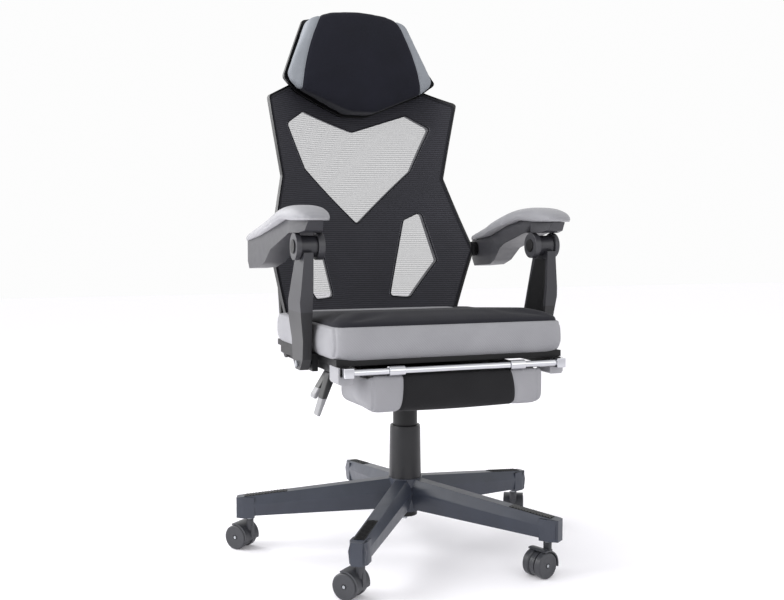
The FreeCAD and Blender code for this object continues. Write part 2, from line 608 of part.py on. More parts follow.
def make_recline_hinge():
    fixed = []
    moving = []
    pins = []
    for side in (-1, 1):
        name = "left" if side < 0 else "right"
        hole = rod("hinge_pin_radius + fit_gap", *side_span(side, "fixed_plate_x - 20", "fixed_plate_x + 20"),
                   "recline_y", "recline_z")
        strap = side_plate(f"{name}_strap", side, "fixed_plate_x", "hinge_plate", [
            ("recline_y - 110", "pan_bottom"), ("recline_y - 110", "pan_bottom - 8"),
            ("recline_y - 60", "recline_z - hinge_eye"), ("recline_y", "recline_z - hinge_eye"),
            ("recline_y + 4", "recline_z + 10"), ("recline_y - 10", "pan_bottom")])
        fixed.append(cut(fuse(strap, hinge_eye(side, "fixed_plate_x")), hole))
        riser = side_plate(f"{name}_riser", side, "moving_plate_x", "hinge_plate", [
            ("recline_y - 12", "recline_z"), ("recline_y", "recline_z - 12"),
            ("recline_y + 14", "recline_z"), ("recline_y + 38", "back_bottom - 4"),
            ("recline_y + 62", "back_bottom + 100"), ("recline_y + 44", "back_bottom + 100"),
            ("recline_y + 22", "back_bottom + 3"), ("recline_y - 4", "back_bottom - 12")])
        moving.append(cut(fuse(riser, hinge_eye(side, "moving_plate_x")), hole))
        pins.append(rod("hinge_pin_radius", *side_span(side, "fixed_plate_x - 9", "moving_plate_x + 8"),
                        "recline_y", "recline_z"))
        pins.append(rod("hinge_pin_radius", *side_span(side, "lug_inner + 1", "post_outer_top + 4"),
                        "post_foot_y", "post_foot_z"))
    node(group(*fixed), "recline_brackets")
    node(group(*moving), "back_uprights")
    node(group(*pins), "hinge_pins")


# ---- armrests --------------------------------------------------------------------------------------

# Side view of the seam between the pad and the shell below it, from the tip to the back.
PAD_SEAM = [("-190", "669"), ("-137", "671"), ("-89", "673"), ("-22", "662"), ("98", "642"),
            ("pad_back_y", "632")]


def make_post(side, name):
    side_view = [("-157", "post_top_z"), ("-155", 540), ("-147", 490), ("-139", 415), ("-120", "lug_bottom + 2"),
                 ("-90", "lug_bottom + 2"), ("-70", 415), ("-60", 490), ("-76", 540), ("-100", "post_top_z")]
    slab = side_plate(f"post_{name}_slab", side, "post_middle", 40, side_view)
    front_view = body(f"post_{name}_front")
    outline = [("post_inner", "lug_bottom"), ("post_outer_top", "lug_bottom"), ("post_outer_top", 450),
               ("post_outer_knee", "knee_z"), ("post_outer_top", "post_top_z + 6"),
               ("post_inner", "post_top_z + 6")]
    sketch = polygon(front_view, "XZ_Plane", [(f"{side} * ({x})", z) for x, z in outline])
    pad(front_view, sketch, 500, midplane=True)
    barrel_y, barrel_z = "post_foot_y + crank_y", "post_foot_z + crank_z"
    barrel = rod("barrel_radius", *side_span(side, "barrel_inner", "barrel_outer"), barrel_y, barrel_z)
    post = fuse(common(slab, front_view), barrel)
    post = cut(post, rod("hinge_pin_radius + open_pivot_gap", *side_span(side, "barrel_inner - 1",
               "barrel_outer + 1"), barrel_y, barrel_z))
    post = cut(post, rod("hinge_pin_radius + running_gap", *side_span(side, "post_inner - 1",
               "post_outer_knee + 1"), "post_foot_y", "post_foot_z"))
    node(post, f"post_{name}")


def make_armrest(side, name):
    barrel_y, barrel_z = "post_foot_y + crank_y", "post_foot_z + crank_z"
    hinge_y, hinge_z = "recline_y + crank_y", "recline_z + crank_z"
    top = [("pad_tip_y", "670"), ("-194", "682"), ("-160", "693"), ("-107", "700"), ("-54", "698"),
           ("-20", "691"), ("49", "675"), ("pad_back_y - 6", "648")]
    pad_side = side_plate(f"pad_{name}_side", side, "post_middle", 120, list(reversed(PAD_SEAM)) + top)
    pad_plan = plan_prism(f"pad_{name}_plan", side, [
        ("nose_middle - pad_nose_half", "pad_tip_y"), ("pad_inner_front + 8", "pad_tip_y + nose_full"),
        ("pad_inner_front", "pad_tip_y + nose_taper"), ("pad_inner_front", -30),
        ("pad_inner_back", 120), ("pad_inner_back", "pad_back_y"), ("pad_outer - 3", "pad_back_y"),
        ("pad_outer", 0), ("pad_outer", "pad_tip_y + nose_taper"), ("pad_outer - 8", "pad_tip_y + nose_full"),
        ("nose_middle + pad_nose_half", "pad_tip_y")])
    node(common(pad_side, pad_plan), f"arm_pad_{name}")

    under = [("-176", "652"), ("-152", "648"), ("-104", "648"), ("-54", "636"), ("22", "616"), ("64", "590"),
             ("100", "579"), ("pad_back_y - 12", "574"), ("pad_back_y", "590")]
    shell_side = side_plate(f"shell_{name}_side", side, "post_middle", 120, under + list(reversed(PAD_SEAM)))
    shell_plan = plan_prism(f"shell_{name}_plan", side, [
        ("nose_middle - shell_nose_half", "pad_tip_y"), ("shell_inner_front", "pad_tip_y + nose_taper"),
        ("shell_inner_front", -20), ("shell_inner_back", 100),
        ("shell_inner_back", "pad_back_y"), ("shell_outer_back", "pad_back_y"),
        ("shell_outer_front", -60), ("shell_outer_front", "pad_tip_y + nose_taper"),
        ("nose_middle + shell_nose_half", "pad_tip_y")])
    ears = [rod("disc_radius", *side_span(side, f"{end}_disc_inner", f"{end}_disc_outer"), barrel_y, barrel_z)
            for end in ("inner", "outer")]
    shell = fuse(common(shell_side, shell_plan), *ears)
    shell = cut(shell, rod("hinge_pin_radius + fit_gap", *side_span(side, "inner_disc_inner - 1",
                "outer_disc_outer + 1"), barrel_y, barrel_z))
    shell = cut(shell, rod("arm_pin_radius + running_gap", *side_span(side, "arm_boss_outer",
                "arm_pin_end + 1"), hinge_y, hinge_z))
    node(shell, f"arm_shell_{name}")

    pin = rod("hinge_pin_radius", *side_span(side, "inner_disc_inner", "outer_disc_outer"), barrel_y, barrel_z)
    caps = [rod("pivot_cap_radius", *side_span(side, *span), barrel_y, barrel_z)
            for span in (("inner_disc_inner - pivot_cap", "inner_disc_inner"),
                         ("outer_disc_outer", "outer_disc_outer + pivot_cap"))]
    node(fuse(pin, *caps), f"arm_pivot_{name}")


# ---- back ------------------------------------------------------------------------------------------

def mirrored(points):
    """Close a half outline, given from the top middle down the right side, with its mirror image."""
    left = [(f"-({x})", z) for x, z in reversed(points) if x != "0"]
    return points + left


def leaning_cylinder(radius):
    """A cylinder about the back's leaning axis."""
    item = doc.addObject("Part::Cylinder", "lean")
    bind(item, "Radius", radius)
    bind(item, "Height", "shell_height")
    return place(item, 0, "shell_axis_y", "shell_axis_z", turn="-back_tilt", axis=(1, 0, 0))


def shell_between(inner, outer):
    return cut(leaning_cylinder(outer), leaning_cylinder(inner))


def rear_prism(name, *loops, rounding="corner_radius"):
    """A prism behind the seat whose front view is the given outline."""
    prism = body(name)
    solid = pad(prism, polygon(prism, "XZ_Plane", *loops, offset=-20), 480, backwards=True)
    doc.recompute()
    if rounding:
        fillet(prism, solid, straight_edges(solid.Shape, (0, 1, 0)), rounding)
    return prism


def back_outline(inset):
    return mirrored([(f"crown_half - {inset}", f"crown_z - {inset}"),
                     (f"shoulder_half - {inset}", f"shoulder_z - {inset}"),
                     (f"waist_half - {inset}", "waist_z"), (f"hip_half - {inset}", "hip_z"),
                     (f"bottom_half - {inset}", f"back_bottom + {inset}")])


def make_back():
    heart = mirrored([("0", "heart_notch_z"), ("heart_lobe_x", "heart_lobe_z"), ("heart_side_x", "heart_side_z"),
                      ("heart_bend_x", "heart_bend_z"), ("0", "heart_point_z")])
    slot = [("slot_top_in_x", "slot_top_in_z"), ("slot_top_x", "slot_top_z"), ("slot_side_x", "slot_side_z"),
            ("slot_low_out_x", "slot_low_out_z"), ("slot_low_in_x", "slot_low_in_z")]
    other_slot = [(f"-({x})", z) for x, z in slot]
    outline = rear_prism("frame_outline", back_outline(0), heart, slot, other_slot)
    frame = common(shell_between("shell_radius", "shell_radius + shell_thickness"), outline)
    hinge_y, hinge_z = "recline_y + crank_y", "recline_z + crank_z"
    bosses = [rod("arm_boss_radius", *side_span(side, "arm_boss_inner", "arm_boss_outer"), hinge_y, hinge_z)
              for side in (-1, 1)]
    node(fuse(frame, *bosses), "back_frame")
    stubs = [rod("arm_pin_radius", *side_span(side, "arm_boss_outer", "arm_pin_end"), hinge_y, hinge_z)
             for side in (-1, 1)]
    node(group(*stubs), "arm_hinge_pins")

    mesh_outline = rear_prism("mesh_outline", back_outline("mesh_inset"))
    mesh = shell_between("shell_radius - mesh_gap - mesh_thickness", "shell_radius - mesh_gap")
    node(common(mesh, mesh_outline), "back_mesh")


def head_outline(inset):
    return mirrored([(f"head_top_half", f"head_top_z - {inset}"),
                     (f"head_corner_half - {inset}", f"head_corner_z - {inset}"),
                     (f"head_wide_half - {inset}", "head_wide_z"),
                     (f"head_low_half - {inset}", f"head_low_z + {inset}"),
                     (f"head_point_half", f"head_point_z + {inset}")])


def make_headrest():
    back = "shell_radius - mesh_gap - mesh_thickness - head_gap"
    shell = shell_between(f"{back} - head_shell", back)
    node(common(shell, rear_prism("head_outline", head_outline(0))), "headrest_shell")
    core = leaning_cylinder(f"{back} - head_shell - 0.1")
    front = box(("-head_wide_half", "head_wide_half"), ("head_front_y", "2 * head_front_y"), (0, "shell_height"))
    place(front, "-head_wide_half", "shell_axis_y + head_front_y * 1.0125", "shell_axis_z", turn="-back_tilt",
          axis=(1, 0, 0))
    pillow = common(common(core, front), rear_prism("head_cushion_outline", head_outline("head_border")))
    node(pillow, "headrest_cushion")


# ---- build and write -------------------------------------------------------------------------------

def check_document():
    for item in doc.Objects:
        if "Invalid" in item.State or "Error" in item.State:
            raise RuntimeError(f"{item.Label} ({item.Name}) failed: {item.State}")
    for item in nodes:
        if item.Shape.isNull() or not item.Shape.isValid() or not item.Shape.Solids:
            raise RuntimeError(f"{item.Label} has no valid solid")


def main():
    make_star_base()
    make_tread_inserts()
    for arm, (name, angle) in enumerate(TRAIL_ANGLES.items()):
        make_caster(name, arm, angle)
    make_column()
    make_seat()
    make_housing()
    make_lever("height_lever", "height_lever_y", "height_root", "height_tip", "height_tip_z")
    make_lever("recline_lever", "recline_lever_y", "recline_root", "recline_tip", "recline_tip_z")
    make_footrest_slides()
    make_footrest_pad()
    make_recline_hinge()
    for side, name in ((-1, "left"), (1, "right")):
        make_post(side, name)
        make_armrest(side, name)
    make_back()
    make_headrest()
    doc.recompute()
    check_document()
    os.makedirs("parts", exist_ok=True)
    for item in nodes:
        item.Shape.exportStep(f"parts/{item.Label}.step")
    print(f"wrote {len(nodes)} pieces")


main()
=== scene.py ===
import math

import bmesh
import bpy
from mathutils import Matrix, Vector
from mathutils.bvhtree import BVHTree
from mathutils.geometry import delaunay_2d_cdt


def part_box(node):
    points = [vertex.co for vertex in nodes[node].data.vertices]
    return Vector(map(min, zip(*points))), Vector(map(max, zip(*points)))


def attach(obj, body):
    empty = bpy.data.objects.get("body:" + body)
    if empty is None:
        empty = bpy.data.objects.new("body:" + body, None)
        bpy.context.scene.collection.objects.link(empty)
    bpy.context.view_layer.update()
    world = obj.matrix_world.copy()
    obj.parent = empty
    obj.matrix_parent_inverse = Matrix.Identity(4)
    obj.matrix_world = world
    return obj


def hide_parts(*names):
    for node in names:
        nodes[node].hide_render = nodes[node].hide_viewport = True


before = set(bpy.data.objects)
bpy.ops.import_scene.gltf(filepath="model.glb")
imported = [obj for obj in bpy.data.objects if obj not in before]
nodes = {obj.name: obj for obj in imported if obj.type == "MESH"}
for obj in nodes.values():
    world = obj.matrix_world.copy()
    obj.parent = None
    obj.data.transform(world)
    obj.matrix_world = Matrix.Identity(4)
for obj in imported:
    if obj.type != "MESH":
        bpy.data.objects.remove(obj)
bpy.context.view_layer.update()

# A gaming chair: fabric cushions, mesh back, moulded shells and star base on casters.
# Metres. The front is -Y and the sitter's left is +X.

SIDES = (("left", -1), ("right", 1))
CASTERS = ("right_back", "back", "left", "front", "right")


# ---- small helpers -------------------------------------------------------------------

def linear(hex_colour):
    """An sRGB hex colour as linear RGBA."""
    parts = [int(hex_colour[i:i + 2], 16) / 255 for i in (1, 3, 5)]
    return [c / 12.92 if c <= 0.04045 else ((c + 0.055) / 1.055) ** 2.4 for c in parts] + [1.0]


def add(tree, kind, values=None, links=None, **settings):
    """Add a node to a tree, with its settings, its input values and the sockets that feed it."""
    item = tree.nodes.new(kind)
    for name, value in settings.items():
        setattr(item, name, value)
    for name, value in (values or {}).items():
        item.inputs[name].default_value = value
    for name, source in (links or {}).items():
        tree.links.new(source, item.inputs[name])
    return item


def smooth_step(t):
    """0 to 1 with an easy start and end."""
    t = min(1.0, max(0.0, t))
    return t * t * (3 - 2 * t)


def plain_mesh(item):
    """The object's evaluated mesh as an ordinary one, with its modifiers gone."""
    mesh = bpy.data.meshes.new_from_object(item.evaluated_get(bpy.context.evaluated_depsgraph_get()))
    item.modifiers.clear()
    item.data = mesh
    return item


def new_object(name, data, material=None):
    """An object in the scene, with one material if one is given."""
    item = bpy.data.objects.new(name, data)
    bpy.context.scene.collection.objects.link(item)
    if material is not None:
        item.data.materials.clear()
        item.data.materials.append(material)
    return item


def object_from(name, build, material=None, smooth=True):
    """An object whose mesh the function build fills in."""
    mesh = bpy.data.meshes.new(name)
    shape = bmesh.new()
    build(shape)
    bmesh.ops.recalc_face_normals(shape, faces=shape.faces)
    shape.to_mesh(mesh)
    shape.free()
    for face in mesh.polygons:
        face.use_smooth = smooth
    return new_object(name, mesh, material)


# ---- materials -----------------------------------------------------------------------

def start_material(name, colour, roughness, metallic=0.0, **sockets):
    """A node material and its shader, with constants on the shader's own sockets."""
    material = bpy.data.materials.new(name)
    material.use_nodes = True
    tree = material.node_tree
    shader = tree.nodes["Principled BSDF"]
    shader.inputs["Base Color"].default_value = linear(colour)
    shader.inputs["Roughness"].default_value = roughness
    shader.inputs["Metallic"].default_value = metallic
    for socket, value in sockets.items():
        shader.inputs[socket.replace("_", " ")].default_value = value
    return material, tree, shader


def place_in(tree):
    """Where a point is on the piece, in metres."""
    return add(tree, "ShaderNodeTexCoord").outputs["Object"]


def grain(tree, size_mm, detail=2.0, roughness=0.5):
    """Noise whose lumps are about size_mm across."""
    return add(tree, "ShaderNodeTexNoise", {"Scale": 1000 / size_mm, "Detail": detail, "Roughness": roughness},
               {"Vector": place_in(tree)})


def between(tree, factor, low, high):
    """Map a 0 to 1 factor on to the range from low to high."""
    return add(tree, "ShaderNodeMapRange", {"To Min": low, "To Max": high}, {"Value": factor}).outputs["Result"]


def raise_surface(tree, shader, height, relief_mm):
    """Relief of up to relief_mm where height, 0 to 1, is high."""
    bump = add(tree, "ShaderNodeBump", {"Distance": relief_mm / 1000}, {"Height": height})
    tree.links.new(bump.outputs["Normal"], shader.inputs["Normal"])


def two_tones(tree, shader, factor, dark, light):
    """Let the base colour wander between two close tones."""
    mix = add(tree, "ShaderNodeMix", data_type="RGBA", links={"Factor": factor})
    tones = {"A": dark, "B": light}
    for socket in mix.inputs:
        if socket.type == "RGBA":
            socket.default_value = linear(tones[socket.name])
    colour = next(socket for socket in mix.outputs if socket.type == "RGBA")
    tree.links.new(colour, shader.inputs["Base Color"])


def moulded_plastic(name, dark, light, roughness, shine=0.5, grain_mm=1.4, relief_mm=0.05):
    """Injection-moulded nylon or ABS from a spark-eroded tool: satin, with a fine pebble and slight sheen drift."""
    material, tree, shader = start_material(name, dark, roughness, Specular_IOR_Level=shine)
    two_tones(tree, shader, grain(tree, 45, 3).outputs["Fac"], dark, light)
    pebble = grain(tree, grain_mm, 1)
    rough = between(tree, grain(tree, 18, 3).outputs["Fac"], roughness - 0.06, roughness + 0.08)
    tree.links.new(rough, shader.inputs["Roughness"])
    raise_surface(tree, shader, pebble.outputs["Fac"], relief_mm)
    return material


def weave(tree, pitch_mm):
    """Height of a plain weave with the given thread spacing, on whichever way the surface faces."""
    waves = add(tree, "ShaderNodeVectorMath", operation="SCALE", values={"Scale": math.pi * 1000 / pitch_mm},
                links={0: place_in(tree)})
    sines = add(tree, "ShaderNodeVectorMath", operation="SINE", links={0: waves.outputs[0]})
    x, y, z = add(tree, "ShaderNodeSeparateXYZ", links={0: sines.outputs[0]}).outputs
    first = add(tree, "ShaderNodeCombineXYZ", links={0: y, 1: z, 2: x})
    second = add(tree, "ShaderNodeCombineXYZ", links={0: z, 1: x, 2: y})
    product = add(tree, "ShaderNodeVectorMath", operation="MULTIPLY",
                  links={0: first.outputs[0], 1: second.outputs[0]})
    facing = add(tree, "ShaderNodeVectorMath", operation="ABSOLUTE",
                 links={0: add(tree, "ShaderNodeTexCoord").outputs["Normal"]})
    dot = add(tree, "ShaderNodeVectorMath", operation="DOT_PRODUCT",
              links={0: product.outputs[0], 1: facing.outputs[0]})
    return add(tree, "ShaderNodeMapRange", {"From Min": -1.0, "From Max": 1.0},
               {"Value": dot.outputs["Value"]}).outputs["Result"]


def woven_fabric(name, dark, light, roughness, pitch_mm=2.4, relief_mm=0.2, sheen=0.04):
    """Woven polyester upholstery: matt, soft edges to the light, threads drawn a little coarser than real."""
    material, tree, shader = start_material(name, dark, roughness, Sheen_Weight=sheen, Sheen_Roughness=0.5,
                                             Specular_IOR_Level=0.25)
    cloudy = grain(tree, 60, 3).outputs["Fac"]
    threads = weave(tree, pitch_mm)
    blend = add(tree, "ShaderNodeMath", operation="MULTIPLY_ADD", values={1: 0.35}, links={0: threads, 2: cloudy})
    two_tones(tree, shader, between(tree, blend.outputs[0], -0.1, 0.95), dark, light)
    raise_surface(tree, shader, threads, relief_mm)
    return material


def polished_chrome():
    """Hexavalent chrome plate on steel tube: mirror-bright with faint drawing lines."""
    material, tree, shader = start_material("chrome_plate", "#c3c4c8", 0.10, 1.0)
    rough = between(tree, grain(tree, 9, 2).outputs["Fac"], 0.04, 0.13)
    tree.links.new(rough, shader.inputs["Roughness"])
    return material


def zinc_steel():
    """Bright zinc plate on turned steel: soft bluish shine, slight mottling."""
    material, tree, shader = start_material("zinc_plated_steel", "#a9acb0", 0.34, 1.0)
    two_tones(tree, shader, grain(tree, 12, 3).outputs["Fac"], "#9a9da2", "#b6b9bd")
    rough = between(tree, grain(tree, 5, 2).outputs["Fac"], 0.26, 0.42)
    tree.links.new(rough, shader.inputs["Roughness"])
    return material


def powder_coat():
    """Satin black powder coat on pressed steel: low gloss with an orange-peel skin."""
    material, tree, shader = start_material("black_powder_coat", "#0d0d0f", 0.46, Specular_IOR_Level=0.35)
    two_tones(tree, shader, grain(tree, 30, 2).outputs["Fac"], "#09090b", "#101012")
    raise_surface(tree, shader, grain(tree, 2.2, 1).outputs["Fac"], 0.06)
    return material


def soft_skin():
    """Integral-skin polyurethane armrest: matt grey skin with a fine leather print."""
    material, tree, shader = start_material("grey_soft_skin", "#a2a2a5", 0.5, Sheen_Weight=0.1)
    two_tones(tree, shader, grain(tree, 50, 2).outputs["Fac"], "#7e7e83", "#8e8e93")
    cells = add(tree, "ShaderNodeTexVoronoi", {"Scale": 1000 / 2.2}, {"Vector": place_in(tree)},
                feature="DISTANCE_TO_EDGE")
    raise_surface(tree, shader, cells.outputs["Distance"], 0.12)
    return material


def stained_plywood():
    """Thin poplar plywood under a black stain: faint long grain."""
    material, tree, shader = start_material("black_stained_plywood", "#262322", 0.6)
    stretch = add(tree, "ShaderNodeMapping", {"Scale": (0.08, 1.0, 1.0)}, {"Vector": place_in(tree)})
    lines = add(tree, "ShaderNodeTexNoise", {"Scale": 400, "Detail": 4}, {"Vector": stretch.outputs[0]})
    two_tones(tree, shader, lines.outputs["Fac"], "#1d1b1a", "#322e2b")
    raise_surface(tree, shader, lines.outputs["Fac"], 0.1)
    return material


def two_shot_plastic(name, split_z, above, below):
    """Two-shot moulding: glass-filled nylon of one colour above split_z and of another below it."""
    material, tree, shader = start_material(name, above, 0.4)
    level = add(tree, "ShaderNodeSeparateXYZ", links={0: place_in(tree)})
    under = add(tree, "ShaderNodeMath", operation="LESS_THAN", values={1: split_z}, links={0: level.outputs["Z"]})
    two_tones(tree, shader, under.outputs[0], above, below)
    raise_surface(tree, shader, grain(tree, 1.4, 1).outputs["Fac"], 0.05)
    return material


BASE_NYLON = moulded_plastic("slate_glass_filled_nylon", "#2a2e38", "#363b47", 0.36)
CASTER_NYLON = moulded_plastic("charcoal_caster_nylon", "#2e2f33", "#3a3b40", 0.4)
BLACK_ABS = moulded_plastic("black_abs", "#09090b", "#101012", 0.42, 0.28)
ARM_ABS = moulded_plastic("charcoal_abs", "#313135", "#3c3c41", 0.4)
SLEEVE_ABS = moulded_plastic("sleeve_polypropylene", "#141416", "#1f1f23", 0.36, 0.4)
POST_ABS = two_shot_plastic("post_two_shot_abs", 0.503, "#2b2b30", "#18181b")
TRIM_ABS = moulded_plastic("grey_trim_abs", "#8f8f93", "#9a9a9e", 0.42)
GREY_CLOTH = woven_fabric("light_grey_woven_polyester", "#86868a", "#98989c", 0.85)
BLACK_CLOTH = woven_fabric("charcoal_woven_polyester", "#1b1b20", "#25252b", 0.9)
FOOT_CLOTH = woven_fabric("black_woven_polyester", "#151517", "#1f1f21", 0.9)
HEAD_CLOTH = woven_fabric("cool_grey_woven_polyester", "#777b81", "#8a8e94", 0.85)
NAVY_CLOTH = woven_fabric("navy_black_woven_polyester", "#0d0e16", "#161722", 0.9)
CHROME = polished_chrome()
ZINC = zinc_steel()
COAT = powder_coat()
SKIN = soft_skin()
PLYWOOD = stained_plywood()


def ribbed_mesh():
    """Knitted polyester back mesh pulled over the dark shell: fine level ribs, slightly shiny threads."""
    rib_mm = 4.6
    material, tree, shader = start_material("black_knitted_mesh", "#1d1d21", 0.66, Sheen_Weight=0.05,
                                             Specular_IOR_Level=0.3)
    level = add(tree, "ShaderNodeSeparateXYZ", links={0: place_in(tree)})
    ribs = add(tree, "ShaderNodeMath", operation="SINE",
               links={0: add(tree, "ShaderNodeMath", operation="MULTIPLY", values={1: 2000 * math.pi / rib_mm},
                             links={0: level.outputs["Z"]}).outputs[0]})
    height = add(tree, "ShaderNodeMapRange", {"From Min": -1.0, "From Max": 1.0}, {"Value": ribs.outputs[0]})
    fine = weave(tree, 1.8)
    both = add(tree, "ShaderNodeMath", operation="MULTIPLY_ADD", values={1: 0.4},
               links={0: fine, 2: height.outputs["Result"]})
    patches = add(tree, "ShaderNodeMath", operation="MULTIPLY", links={0: both.outputs[0],
                  1: between(tree, grain(tree, 90, 3).outputs["Fac"], 0.5, 1.0)})
    two_tones(tree, shader, patches.outputs[0], "#19191d", "#37373f")
    raise_surface(tree, shader, both.outputs[0], 0.4)
    return material


MESH_CLOTH = ribbed_mesh()


def yarn_material():
    """Single polyester yarns of the open mesh: grey, slightly glossy."""
    material, tree, shader = start_material("grey_polyester_yarn", "#74747a", 0.6)
    two_tones(tree, shader, grain(tree, 4, 2).outputs["Fac"], "#68686e", "#7e7e85")
    return material


YARN = yarn_material()


# ---- carried-over pieces -------------------------------------------------------------

def finish_node(name, material, edge_mm=0.0):
    """Give a CAD piece its finish, and optionally the small edge radius that a moulding or casting has."""
    item = nodes[name]
    item.data.materials.clear()
    item.data.materials.append(material)
    for face in item.data.polygons:
        face.use_smooth = True
    weld = item.modifiers.new("weld", "WELD")
    weld.merge_threshold = 0.00002
    if edge_mm:
        flat = item.modifiers.new("flat", "DECIMATE")
        flat.decimate_type = "DISSOLVE"
        flat.angle_limit = math.radians(1.5)
        bevel = item.modifiers.new("edge", "BEVEL")
        bevel.width = edge_mm / 1000
        bevel.segments = 2
        bevel.limit_method = "ANGLE"
        bevel.angle_limit = math.radians(32)
        bevel.use_clamp_overlap = True
    sharp = item.modifiers.new("shading", "WEIGHTED_NORMAL")
    sharp.keep_sharp = True
    sharp.weight = 80


PLAIN_FINISHES = {
    "base_star": (BASE_NYLON, 1.6), "tread_inserts": (BLACK_ABS, 0.4), "column_tube": (COAT, 0.5),
    "lower_dust_sleeve": (SLEEVE_ABS, 0.5), "upper_dust_sleeve": (SLEEVE_ABS, 0.5), "piston_rod": (ZINC, 0.2),
    "thrust_bearing": (ZINC, 0.2), "gas_cylinder": (ZINC, 0.3), "release_button": (BLACK_ABS, 0.2),
    "seat_pan": (BLACK_ABS, 0.8), "tilt_housing": (COAT, 0.8), "housing_bolts": (ZINC, 0.4),
    "footrest_rails": (COAT, 0.5), "slide_tubes": (ZINC, 0.5), "recline_brackets": (COAT, 0.8),
    "back_uprights": (COAT, 0.8), "hinge_pins": (ZINC, 0.5), "arm_hinge_pins": (ZINC, 0.3),
    "height_lever_rod": (ZINC, 0.3), "recline_lever_rod": (ZINC, 0.3), "pad_hinges": (CHROME, 0.4),
    "cross_bar": (CHROME, 0.3), "bar_end_blocks": (CHROME, 1.5), "footrest_board": (PLYWOOD, 0.5),
    "back_frame": (BLACK_ABS, 1.6), "headrest_shell": (BLACK_ABS, 2.0),
    "post_left": (POST_ABS, 1.4), "post_right": (POST_ABS, 1.4),
    "arm_shell_left": (ARM_ABS, 1.4), "arm_shell_right": (ARM_ABS, 1.4),
    "arm_pivot_left": (COAT, 1.0), "arm_pivot_right": (COAT, 1.0),
    "height_lever_paddle": (two_shot_plastic("height_grip_two_shot_abs", 0.345, "#141416", "#8d8d90"), 3.0),
    "recline_lever_paddle": (two_shot_plastic("recline_grip_two_shot_abs", 0.330, "#141416", "#8d8d90"), 3.0),
}
for node_name, (node_finish, node_edge) in PLAIN_FINISHES.items():
    finish_node(node_name, node_finish, node_edge)
for caster in CASTERS:
    finish_node(f"caster_{caster}_hood", CASTER_NYLON, 1.0)
    finish_node(f"caster_{caster}_pins", ZINC, 0.3)
    for wheel_side, _ in SIDES:
        finish_node(f"caster_{caster}_wheel_{wheel_side}", CASTER_NYLON, 0.6)


# ---- stuffed pieces ------------------------------------------------------------------

def round_corners(points, radius, steps=6):
    """The outline with an arc at each corner."""
    out = []
    count = len(points)
    for i, (x, y) in enumerate(points):
        here = Vector((x, y))
        back = Vector(points[i - 1]) - here
        ahead = Vector(points[(i + 1) % count]) - here
        half_turn = back.angle(ahead) / 2
        reach = min(radius / math.tan(half_turn), 0.49 * back.length, 0.49 * ahead.length)
        start = here + back.normalized() * reach
        end = here + ahead.normalized() * reach
        for step in range(steps + 1):
            t = step / steps
            out.append(tuple(start * (1 - t) ** 2 + here * 2 * t * (1 - t) + end * t * t))
    return out


def sew(item, distance, depth, width):
    """Pull the surface in along a seam; distance gives how far a point is from it."""
    item.data.update()
    moves = []
    for vertex in item.data.vertices:
        away = distance(vertex.co)
        if away < 3 * width:
            moves.append((vertex.index, vertex.normal * (-depth * math.exp(-(away / width) ** 2))))
    for index, move in moves:
        item.data.vertices[index].co += move
    item.data.update()


def cut_along(item, value):
    """Cut a mesh along the line where value of a point is zero."""
    shape = bmesh.new()
    shape.from_mesh(item.data)
    level = {v: value(v.co) for v in shape.verts}
    fresh = set()
    for edge in list(shape.edges):
        a, b = edge.verts
        if level[a] * level[b] < 0:
            _, middle = bmesh.utils.edge_split(edge, a, level[a] / (level[a] - level[b]))
            fresh.add(middle)
    for face in list(shape.faces):
        ends = [v for v in face.verts if v in fresh]
        if len(ends) == 2:
            bmesh.utils.face_split(face, ends[0], ends[1])
    shape.to_mesh(item.data)
    shape.free()


def two_cloths(item, materials, value):
    """Cut a cover along value = 0 and give the cloth on its positive side the second material."""
    cut_along(item, value)
    item.data.materials.clear()
    for material in materials:
        item.data.materials.append(material)
    for face in item.data.polygons:
        face.material_index = 1 if value(face.center) > 0 else 0
        face.use_smooth = True


def tube_tree():
    """Geometry Nodes: every edge of a mesh as a round cord."""
    tree = bpy.data.node_groups.new("cord_along_edges", "GeometryNodeTree")
    tree.interface.new_socket("Geometry", in_out="INPUT", socket_type="NodeSocketGeometry")
    tree.interface.new_socket("Radius", in_out="INPUT", socket_type="NodeSocketFloat")
    tree.interface.new_socket("Sides", in_out="INPUT", socket_type="NodeSocketInt")
    tree.interface.new_socket("Material", in_out="INPUT", socket_type="NodeSocketMaterial")
    tree.interface.new_socket("Geometry", in_out="OUTPUT", socket_type="NodeSocketGeometry")
    given = add(tree, "NodeGroupInput")
    lines = add(tree, "GeometryNodeMeshToCurve", links={"Mesh": given.outputs["Geometry"]})
    ring = add(tree, "GeometryNodeCurvePrimitiveCircle", links={"Radius": given.outputs["Radius"],
                                                                "Resolution": given.outputs["Sides"]})
    skin = add(tree, "GeometryNodeCurveToMesh", {"Fill Caps": True},
               {"Curve": lines.outputs["Curve"], "Profile Curve": ring.outputs["Curve"]})
    whole = add(tree, "GeometryNodeRealizeInstances", links={"Geometry": skin.outputs["Mesh"]})
    finished = add(tree, "GeometryNodeSetMaterial", links={"Geometry": whole.outputs["Geometry"],
                                                           "Material": given.outputs["Material"]})
    add(tree, "NodeGroupOutput", links={"Geometry": finished.outputs["Geometry"]})
    return tree


CORD_TREE = tube_tree()


